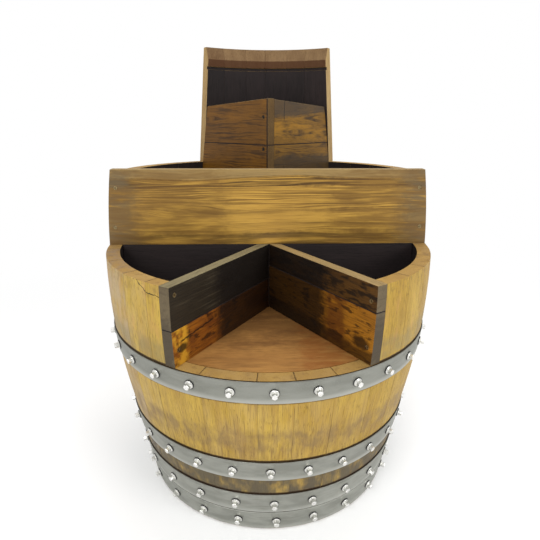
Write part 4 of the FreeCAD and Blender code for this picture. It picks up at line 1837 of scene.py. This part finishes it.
@dataclass
class Fasteners:
    """Every screw, washer, seal and rivet of the hoops."""

    washer_radius: float = 9.0
    washer_height: float = 4.0
    across_flats: float = 9.5
    head_height: float = 7.0
    rivet_radius: float = 5.0
    rivet_height: float = 2.5
    washer_sides: int = 28
    rivet_sides: int = 24

    def seal(self) -> Mesh:
        """Return the rubber ring squeezed out from under a washer."""
        r = self.washer_radius
        profile = ((r - 1.2, 0.0), (r - 0.2, 0.1), (r, 0.8), (r - 0.1, 1.6), (r - 1.2, 1.9))
        return turned(profile, self.washer_sides)

    def washer(self) -> Mesh:
        """Return a dished steel washer."""
        r = self.washer_radius - 1.0
        profile = ((r - 1.6, 1.4), (r - 0.2, 1.5), (r, 1.8), (r - 0.2, 2.2), (r * 0.86, 2.9),
                   (r * 0.68, 3.6), (r * 0.5, self.washer_height))
        return turned(profile, self.washer_sides)

    def head(self) -> Mesh:
        """Return a hexagon head with a chamfered crown."""
        low, high = self.washer_height - 0.6, self.washer_height + self.head_height
        corner = self.across_flats / math.sqrt(3.0)
        return turned(((corner * 0.96, low), (corner, low + 0.9), (corner, high - 0.9),
                       (corner * 0.93, high - 0.3), (corner * 0.74, high)), 6)

    def rivet(self) -> Mesh:
        """Return a domed rivet head."""
        rises = [math.radians(degrees) for degrees in (0, 18, 36, 54, 72, 84)]
        profile = [(self.rivet_radius * math.cos(a), self.rivet_height * math.sin(a)) for a in rises]
        return turned(profile, self.rivet_sides)

    @staticmethod
    def row(make: Callable[[], Mesh], seats: Iterable[Matrix], seed: int) -> Mesh:
        """Put a fastener on each seat, each turned its own way.

        Args:
            make: Makes one fastener.
            seats: Their places.
            seed: Seed of their turns.

        Returns:
            All of them in one mesh.
        """
        draw = random.Random(seed)
        bm = bmesh.new()
        for seat in seats:
            own = make()
            spin = Matrix.Rotation(draw.uniform(0.0, 2.0 * math.pi), 4, "Z")
            bmesh.ops.transform(own, matrix=seat @ spin, verts=own.verts)
            join(bm, own)
        return bm

    def build(self, hoops: Sequence[Hoop]) -> None:
        """Build the fasteners of all the hoops.

        Args:
            hoops: The hoops that they sit on.
        """
        seats = [seat for hoop in hoops for seat in hoop.screw_seats()]
        washers = ("hoop_screw_washers",)
        Piece("rubber_seals", washers, "washer_zinc", {Side.FACE: SEAL_RUBBER.material}).place(
            self.row(self.seal, seats, 3))
        Piece("steel_washers", washers, "washer_zinc", {Side.FACE: WASHER_ZINC.material}).place(
            self.row(self.washer, seats, 4))
        for seed, hoop in enumerate(hoops, start=20):
            node = f"{hoop.node}_screws"
            heads = self.row(self.head, hoop.screw_seats(), seed)
            Piece(f"hexagon_{node}", (node,), "screw_zinc", {Side.FACE: BRIGHT_ZINC.material},
                  sharp=28.0).place(heads)
        rivet_seats = [seat for hoop in hoops for seat in hoop.rivet_seats()]
        Piece("lap_rivets", ("hoop_rivets",), "hoop_steel", {Side.FACE: HOOP_STEEL.material}).place(
            self.row(self.rivet, rivet_seats, 5))


def place_board_screws(name: str, screws: Iterable[ScrewHead], metal: Finish) -> None:
    """Build the heads of some board screws, each turned its own way.

    Args:
        name: Name of the piece.
        screws: The screws.
        metal: Their finish.
    """
    heads = bmesh.new()
    draw = random.Random(2)
    for screw in screws:
        screw.head(heads, draw.uniform(0.0, math.pi))
    Piece(name, ("board_screws",), "screw_zinc", {Side.FACE: metal.material}).place(heads)


# ---------------------------------------------------------------- studio
@dataclass(frozen=True)
class SoftBox:
    """A square lamp: its name, its place and size in metres, and its power in watts."""

    name: str
    place: tuple[float, float, float]
    size: float
    power: float

    def hang(self, target: Vector) -> None:
        """Hang the lamp, aimed at a target.

        Args:
            target: Point that it is aimed at.
        """
        data = bpy.data.lights.new(self.name, "AREA")
        data.shape, data.size, data.energy = "SQUARE", self.size, self.power
        place = Vector(self.place)
        turn = (target - place).to_track_quat("-Z", "Y").to_matrix().to_4x4()
        to_scene(self.name, data).matrix_world = Matrix.Translation(place) @ turn


@dataclass(frozen=True)
class Studio:
    """Camera, lamps, world and floor.

    The camera's turns are in radians, its eye and sensor in millimetres, and the floor in metres. The
    lamps are aimed at a share, aim, of the barrel's height.
    """

    eye: tuple[float, float, float] = (-29.5, -983.1, 779.1)
    yaw: float = 0.0333
    pitch: float = 0.318
    roll: float = 0.003
    focal_pixels: float = 451.07
    frame_pixels: float = 540.0
    sensor: float = 36.0
    floor_radius: float = 7.0
    floor_sides: int = 96
    ambient: float = 0.62
    aim: float = 0.45
    lamps: tuple[SoftBox, ...] = (SoftBox("key", (-1.5, -2.6, 2.6), 1.6, 55.0),
                                  SoftBox("fill", (2.2, -2.0, 1.9), 1.6, 42.0),
                                  SoftBox("top", (0.2, 0.6, 3.0), 2.0, 30.0))

    def camera(self) -> None:
        """Place the camera."""
        data = bpy.data.cameras.new("camera")
        data.sensor_width = self.sensor
        data.lens = self.focal_pixels / self.frame_pixels * self.sensor
        data.clip_start, data.clip_end = 0.05, 60.0
        level = math.cos(self.pitch)
        ahead = Vector((math.sin(self.yaw) * level, math.cos(self.yaw) * level, -math.sin(self.pitch)))
        turn = ahead.to_track_quat("-Z", "Y").to_matrix().to_4x4()
        camera = to_scene("camera", data)
        camera.matrix_world = (Matrix.Translation(Vector(self.eye) * MM) @ turn
                               @ Matrix.Rotation(self.roll, 4, "Z"))
        bpy.context.scene.camera = camera

    def world(self) -> None:
        """Light the scene evenly, with plain white where the camera or a reflection looks past it."""
        world = bpy.data.worlds.new("studio")
        bpy.context.scene.world = world
        world.use_nodes = True
        tree = world.node_tree
        tree.nodes.clear()
        rays = add(tree, "LightPath")
        seen = Field(rays, "Is Camera Ray")
        for ray in ("Is Transmission Ray", "Is Glossy Ray"):
            seen = seen.at_least(Field(rays, ray))
        strength = seen * (1.0 - self.ambient) + self.ambient
        white = add(tree, "Background", {"Color": WHITE, "Strength": strength})
        tree.links.new(white.outputs[0], add(tree, "OutputWorld").inputs[0])

    def floor(self) -> None:
        """Lay a round floor."""
        bm = bmesh.new()
        bmesh.ops.create_circle(bm, cap_ends=True, radius=self.floor_radius, segments=self.floor_sides)
        mesh = bpy.data.meshes.new("floor")
        bm.to_mesh(mesh)
        bm.free()
        mesh.materials.append(StudioFloor().material)
        floor = to_scene("floor", mesh)

    def build(self) -> None:
        """Set up the whole studio."""
        self.camera()
        self.world()
        self.floor()
        for lamp in self.lamps:
            lamp.hang(UP * (BARREL.height * MM * self.aim))
        bpy.context.scene.view_settings.view_transform = "Standard"


# ---------------------------------------------------------------- palette
# A stain's band that covers a whole board: its middle, half its width and its fade.
EVERYWHERE = (0.0, 2000.0, 1.0)
# Painted shadow over darkened wood: the panels turn nearly black towards the corner of the notch, where shade
# falls deep in the notch.
CORNER_SHADOW_AND_STAIN = Stain("#0f0906", 0.9, 0.0, 170.0, 45.0, (30.0, 80.0), (0.05, 0.3), Axis.ALONG)
CHIME_LAND = BARREL.croze_from_end - BARREL.chime_height


def varnished_staves(hoops: Sequence[Hoop]) -> Timber:
    """Describe the staves' outside: golden varnish on oak, flecked, greyed, stained by iron, and with painted
    shade along the hoops' edges.

    Args:
        hoops: Hoops with painted shade and dirt above them, and painted shade and an iron stain below.

    Returns:
        The finish.
    """
    # Painted shade mixed with dirt: a dark band just above each hoop's upper edge, where it stands off the
    # staves.
    above = [Stain("#2b1c0f", 0.95, hoop.high + 1.2, 2.0, 2.4, (30.0, 8.0), (0.1, 0.4)) for hoop in hoops]
    # Painted shade mixed with an iron stain: a darker band just below each hoop's lower edge.
    below = [Stain("#4a3820", 0.6, hoop.low - 1.0, 1.5, 2.0, (30.0, 8.0), (0.2, 0.5)) for hoop in hoops]
    chipped_rim = tuple(
        Crack((start, number * BETWEEN_STAVES + high), (end, number * BETWEEN_STAVES + low), 1.3)
        for number, start, high, end, low in ((27, 8.0, 526.0, 37.0, 507.0), (28, -54.0, 507.0, -8.0, 505.0)))
    wear = (Stain("#5f4a24", 0.6, 420.0, 420.0, 20.0, (2.2, 14.0), (0.6, 0.7)),
            Stain("#6b5330", 0.45, 520.0, 10.0, 16.0, (6.0, 12.0), (0.45, 0.7)),
            Stain("#7d7450", 0.5, 402.0, 8.0, 22.0, (26.0, 30.0), (0.25, 0.6)),
            Stain("#786142", 0.7, 243.0, 12.0, 22.0, (22.0, 34.0), (0.28, 0.68)),
            Stain("#4b463c", 0.9, 122.0, 24.0, 8.0, (28.0, 45.0), (0.14, 0.58)),
            Stain("#c8955a", 0.35, 470.0, 50.0, 20.0, (20.0, 70.0), (0.5, 0.75)),
            Stain("#8a6a3c", 0.45, 320.0, 90.0, 40.0, (9.0, 120.0), (0.45, 0.75)),
            Stain("#6f5330", 0.45, 206.0, 6.0, 24.0, (5.0, 50.0), (0.35, 0.7)))
    return Timber("varnished_oak_barrel_stave", "#c9a846", "#9c772a", "#755c28", "#4d3c1c",
                  pith=(150.0, 40.0), ring_width=3.4, ring_depth=0.3, run=1.4, streak_depth=0.32,
                  pore_depth=0.5, weathered="#b09c80", weathering=0.8, seam=0.12, roughness=0.56,
                  varnish=0.08, cracks=chipped_rim, stains=(*wear, *above, *below))


# The staves' sawn tops: pale sanded end grain, greyed by use, with dark lines at the joints.
STAVE_TOPS = Timber(
    "sanded_oak_end_grain", "#b08e4e", "#937138", "#7c5e30", "#3c2913", pith=(150.0, 40.0), ring_width=3.0,
    streak_depth=0.15, pore_depth=0.3, roughness=0.7, weathered="#84705a", weathering=0.9, seam=1.0,
    stains=(Stain("#6b4f2c", 0.5, 0.0, 900.0, 1.0, (14.0, 14.0), (0.5, 0.75), Axis.ACROSS),))
# The staves' jointed edges: clean planed oak that dirt has crept into.
STAVE_JOINTS = Timber(
    "jointed_oak_stave_edge", "#bda170", "#9c7d4c", "#7c6039", "#574124", ring_width=3.0, ring_depth=0.4,
    roughness=0.66, stains=(Stain("#7a6242", 0.5, 0.0, 2000.0, 1.0, (8.0, 60.0), (0.45, 0.7), Axis.ALONG),))
# Everything that held wine: black with a hint of purple, with hardly any grain.
WINE_STAINED = Timber("wine_stained_oak", "#2d2423", "#1b1616", "#110d0c", "#090707", ring_depth=0.5,
                      roughness=0.62)
# The bevelled chime: raw brown oak, darker on the land above the croze.
RAW_CHIME = Timber(
    "raw_oak_chime", "#8a6f4c", "#5f4429", "#452e18", "#2a1b0e", ring_depth=0.4, roughness=0.7,
    stains=(Stain("#492a14", 0.85, BARREL.height - (BARREL.chime_height + BARREL.croze_from_end) / 2.0,
                  CHIME_LAND / 2.0, 1.5, (30.0, 60.0), (0.0, 0.2)),))
# The deck: flat sawn boards in a warm brown, oiled, with painted shade that makes it darker in the middle,
# towards the back of the notch.
OILED_DECK = Timber(
    "sanded_oak_deck", "#af8043", "#84582b", "#68451f", "#452e16", pith=(60.0, 420.0), ring_width=4.5,
    pore_depth=0.3, roughness=0.6,
    stains=(Stain("#5c3a1c", 0.55, 0.0, 900.0, 1.0, (26.0, 90.0), (0.45, 0.75), Axis.ACROSS),
            # Painted shade: the deck darkens towards the back of the notch.
            Stain("#55371b", 0.6, 0.0, 130.0, 140.0, (60.0, 90.0), (0.1, 0.5), Axis.ACROSS),
            Stain("#7c4417", 0.6, 105.0 - BETWEEN_DECK_BOARDS, 30.0, 40.0, (14.0, 60.0), (0.3, 0.6),
                  Axis.ALONG)))
# The notch panels' outer ends: old stave faces that weathered to a grey brown, darker at the foot.
WEATHERED_END = Timber(
    "weathered_oak_board_end", "#74664d", "#554a39", "#3d3428", "#2a2219", ring_width=13.0, ring_depth=0.45,
    pith=(-900.0, 10.0), wander=16.0, roughness=0.7, streak_depth=0.2, pore_depth=0.12,
    stains=(Stain("#443c31", 0.75, 385.0, 50.0, 60.0, (24.0, 60.0), (0.1, 0.45)),))
# The four notch boards: two nearly black, two oiled to a deep amber with wild figure round a knot, and all
# four with painted shadow towards the notch's corner.
FUMED_PANEL = Timber(
    "fumed_oak_board", "#322a1e", "#1a140c", "#0f0a06", "#080503", ring_width=4.0, ring_depth=0.5,
    pith=(90.0, 40.0), roughness=0.58, pore_depth=0.3,
    stains=(Stain("#4a4233", 0.45, *EVERYWHERE, (4.0, 120.0), (0.52, 0.7), Axis.ACROSS), CORNER_SHADOW_AND_STAIN))
DARK_PANEL = Timber(
    "dark_oiled_oak_board", "#634217", "#2d1c0c", "#1a0f07", "#0d0704", ring_width=4.5, ring_depth=0.6,
    pith=(20.0, 60.0), wander=16.0, roughness=0.52,
    stains=(Stain("#130c06", 0.85, *EVERYWHERE, (10.0, 40.0), (0.45, 0.58), Axis.ACROSS), CORNER_SHADOW_AND_STAIN))
AMBER_PANEL_LEFT = Timber(
    "amber_oiled_oak_board_left", "#a5651a", "#6f3a10", "#3c1d07", "#1d0e05", ring_width=7.0, ring_depth=0.8,
    pith=(-30.0, 25.0), wander=22.0, roughness=0.46, varnish=0.15, knots=(Knot(31.0, 296.0, 9.0),),
    cracks=(Crack((44.0, 300.0), (52.0, 205.0), 2.4),),
    stains=(Stain("#5a2c0e", 0.7, 30.0, 30.0, 20.0, (14.0, 50.0), (0.4, 0.65), Axis.ACROSS),
            Stain("#2b1406", 0.85, *EVERYWHERE, (9.0, 30.0), (0.54, 0.64), Axis.ACROSS),
            Stain("#d09a2c", 0.8, 300.0, 12.0, 14.0, (20.0, 20.0), (0.35, 0.6), Axis.ALONG),
            CORNER_SHADOW_AND_STAIN))
AMBER_PANEL_RIGHT = Timber(
    "amber_oiled_oak_board_right", "#b57a20", "#7d4d15", "#452608", "#1d0f05", ring_width=6.0,
    ring_depth=0.75, pith=(130.0, 30.0), wander=26.0, roughness=0.46, varnish=0.15,
    knots=(Knot(34.0, 290.0, 14.0),),
    stains=(Stain("#4a220c", 0.7, 222.0, 14.0, 24.0, (20.0, 40.0), (0.2, 0.5), Axis.ALONG),
            Stain("#2d1807", 0.8, *EVERYWHERE, (10.0, 30.0), (0.54, 0.64), Axis.ACROSS),
            Stain("#1c0e05", 0.75, 6.0, 14.0, 14.0, (30.0, 60.0), (0.15, 0.4), Axis.ACROSS),
            CORNER_SHADOW_AND_STAIN))
# The tier board: long golden flames, a dark streak below a greyed rim, brown towards both ends, and painted
# shadow along its foot.
VARNISHED_TIER = Timber(
    "varnished_oak_tier_board", "#cfa247", "#9b752f", "#5f441b", "#38260f", ring_width=4.2, ring_depth=0.9,
    pith=(60.0, 70.0), wander=17.0, run=1.7, streak_depth=0.3, pore_depth=0.3, pore_length=60.0,
    roughness=0.5, varnish=0.12,
    stains=(Stain("#8d7850", 0.75, 158.0, 11.0, 6.0, (60.0, 200.0), (0.1, 0.4), Axis.ACROSS),
            Stain("#33200f", 0.85, 134.0, 5.0, 9.0, (3.0, 260.0), (0.46, 0.54), Axis.ACROSS),
            Stain("#4b2f12", 0.6, 112.0, 24.0, 26.0, (2.2, 320.0), (0.5, 0.6), Axis.ACROSS),
            Stain("#43290f", 0.55, 60.0, 60.0, 20.0, (2.2, 240.0), (0.58, 0.66), Axis.ACROSS),
            # Painted shadow along the board's foot, cast by what stands in the wells.
            Stain("#35230f", 0.7, 6.0, 12.0, 16.0, (12.0, 160.0), (0.35, 0.6), Axis.ACROSS),
            Stain("#65573f", 0.75, -335.0, 22.0, 60.0, (9.0, 60.0), (0.3, 0.5), Axis.ALONG),
            Stain("#65573f", 0.75, 335.0, 22.0, 60.0, (9.0, 60.0), (0.3, 0.5), Axis.ALONG),
            Stain("#6a4b20", 0.6, -240.0, 120.0, 55.0, (12.0, 90.0), (0.3, 0.6), Axis.ALONG),
            Stain("#6a4b20", 0.6, 250.0, 90.0, 55.0, (12.0, 90.0), (0.3, 0.6), Axis.ALONG)))
# The boards' sanded upper edges: pale and plain, greyer on the left notch panel.
SANDED_EDGE = Timber("sanded_oak_board_edge", "#a58a5c", "#857048", "#6a5635", "#4c3c22", ring_width=4.0,
                     ring_depth=0.3, roughness=0.68)
GREYED_EDGE = Timber("greyed_oak_panel_edge", "#8d8160", "#6c6248", "#554b35", "#393121", ring_width=4.0,
                     ring_depth=0.3, roughness=0.68)
# The prow: brown stained oak with wide flames that catch the light, the right side the livelier one.
WALNUT_LEFT = Timber(
    "walnut_stained_oak_left", "#865812", "#50330a", "#281806", "#160d05", ring_width=6.0, ring_depth=0.8,
    pith=(60.0, 40.0), wander=20.0, roughness=0.5, varnish=0.1, streak_depth=0.25,
    stains=(Stain("#2a1a0a", 0.6, *EVERYWHERE, (5.0, 90.0), (0.54, 0.64), Axis.ACROSS),
            Stain("#150d06", 0.9, 0.0, 2.5, 3.0, (20.0, 40.0), (0.15, 0.35), Axis.ALONG)))
WALNUT_RIGHT = Timber(
    "walnut_stained_oak_right", "#9c6f18", "#523812", "#281a09", "#1a1108", ring_width=7.5, ring_depth=0.95,
    pith=(20.0, 45.0), wander=34.0, roughness=0.44, varnish=0.1, streak_depth=0.25,
    cracks=(Crack((52.0, 56.0), (110.0, 56.0), 1.8),),
    stains=(Stain("#33220f", 0.6, *EVERYWHERE, (6.0, 60.0), (0.52, 0.62), Axis.ACROSS),
            Stain("#b27f1c", 0.5, 28.0, 12.0, 18.0, (12.0, 50.0), (0.35, 0.6), Axis.ACROSS),
            Stain("#3d3225", 0.8, 98.0, 24.0, 14.0, (30.0, 90.0), (0.12, 0.4), Axis.ACROSS)))
# The left prow boards' end grain, which shows as a brown strip at the corner.
PROW_END = Timber("sawn_oak_end_grain_at_prow", "#70562f", "#4f391e", "#33230f", "#1f150a", ring_width=3.0,
                  ring_depth=0.6, pith=(120.0, 30.0), roughness=0.66)
# Hidden timber: sawn pine blocks under the floors, and the barrel's own raw oak bottom.
PINE_CLEAT = Timber("sawn_pine_cleat", "#b4935c", "#967340", "#7b5a2c", "#604522")
HEAD_OAK = Timber("raw_oak_head_boards", "#8f6c38", "#6e4e22", "#563b19", "#3c280f")
# Near black on the floors, as painted shade: they show only as darkness in the shade of what stands on them.
FLOOR_SHADE_BLACK = PaintedShadeBlack("matt_black_painted_board")
# Metals: dull hoops, bright screws on greyer washers, board screws that varnish or rust has taken, and prow
# screws drawn near black as painted shade of deep countersinks.
HOOP_STEEL = StripSteel()
BRIGHT_ZINC = ZincPlate()
WASHER_ZINC = ZincPlate("zinc_plated_washer_steel", "#e0dfda", "#b4b4ac", 0.34)
YELLOWED_ZINC = ZincPlate("yellowed_zinc_plated_steel", "#a3916a", "#5d4f38", 0.42)
# Painted shade: the prow screws are drawn near black, as if sunk deep in their countersinks.
COUNTERSINK_SHADE_STEEL = ZincPlate("tarnished_screw_steel", "#4a443c", "#2a231c", 0.5)
SEAL_RUBBER = SealRubber()


def dressed(face: Finish, cut: Finish, **others: Finish) -> Finishes:
    """Return the materials of a piece: its face, its sawn edges and its other sides by name."""
    others = {"face": face, "cut": cut} | others
    return {Side[name.upper()]: finish.material for name, finish in others.items()}


def notch_finishes() -> PanelFinishes:
    """Return the materials of the four notch boards."""
    rows = ((Level.UPPER, Hand.LEFT, FUMED_PANEL, GREYED_EDGE),
            (Level.UPPER, Hand.RIGHT, DARK_PANEL, SANDED_EDGE),
            (Level.LOWER, Hand.LEFT, AMBER_PANEL_LEFT, GREYED_EDGE),
            (Level.LOWER, Hand.RIGHT, AMBER_PANEL_RIGHT, SANDED_EDGE))
    return {(level, hand): dressed(face, rim, chime=WEATHERED_END, inside=WINE_STAINED)
            for level, hand, face, rim in rows}


def prow_finishes() -> PanelFinishes:
    """Return the materials of the four prow boards."""
    faces = {Hand.LEFT: WALNUT_LEFT, Hand.RIGHT: WALNUT_RIGHT}
    return {(level, hand): dressed(faces[hand], SANDED_EDGE, chime=PROW_END, inside=WINE_STAINED)
            for level in Level for hand in Hand}


def dress_nodes() -> None:
    """Give the construction nodes that stay in view their finishes."""
    for finish, names in ((PINE_CLEAT, ("deck_cleats", "tier_floor_cleats", "top_floor_cleats")),
                          (HEAD_OAK, ("lower_head_boards",)),
                          (FLOOR_SHADE_BLACK, ("well_floor_left", "well_floor_right", "tier_floor", "top_floor"))):
        for name in names:
            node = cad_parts[name]
            node.data.materials.clear()
            node.data.materials.append(finish.material)
            LOG.info("%s: construction node in %s", name, finish.name)


def main() -> None:
    """Build the cabinet piece by piece, then the studio round it."""
    logging.basicConfig(level=logging.INFO, format="%(name)s: %(message)s")
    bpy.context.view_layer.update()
    steps = Steps()
    hoops = [Hoop("foot_hoop", 24, 1.5, dirt=0.0), Hoop("chime_hoop", 25, 0.6),
             Hoop("quarter_hoop", 28, -0.9, dull=0.1), Hoop("bilge_hoop", 29, 0.0, dull=0.35)]
    dress_nodes()
    StaveSet(steps).build(dressed(varnished_staves(hoops), STAVE_TOPS, inside=WINE_STAINED, chime=RAW_CHIME,
                                  edge=STAVE_JOINTS))
    DeckBoards(steps).build(dressed(OILED_DECK, OILED_DECK))
    screws = NotchPanels(steps).build(notch_finishes())
    screws += TierBoards(steps).build(dressed(VARNISHED_TIER, SANDED_EDGE),
                                      dressed(WINE_STAINED, WINE_STAINED))
    prow_screws = Prow(steps).build(prow_finishes())
    place_board_screws("countersunk_board_screws", screws, YELLOWED_ZINC)
    place_board_screws("tarnished_prow_screws", prow_screws, COUNTERSINK_SHADE_STEEL)
    for hoop in hoops:
        hoop.build()
    Fasteners().build(hoops)
    Studio().build()


if __name__ == "__main__":
    main()
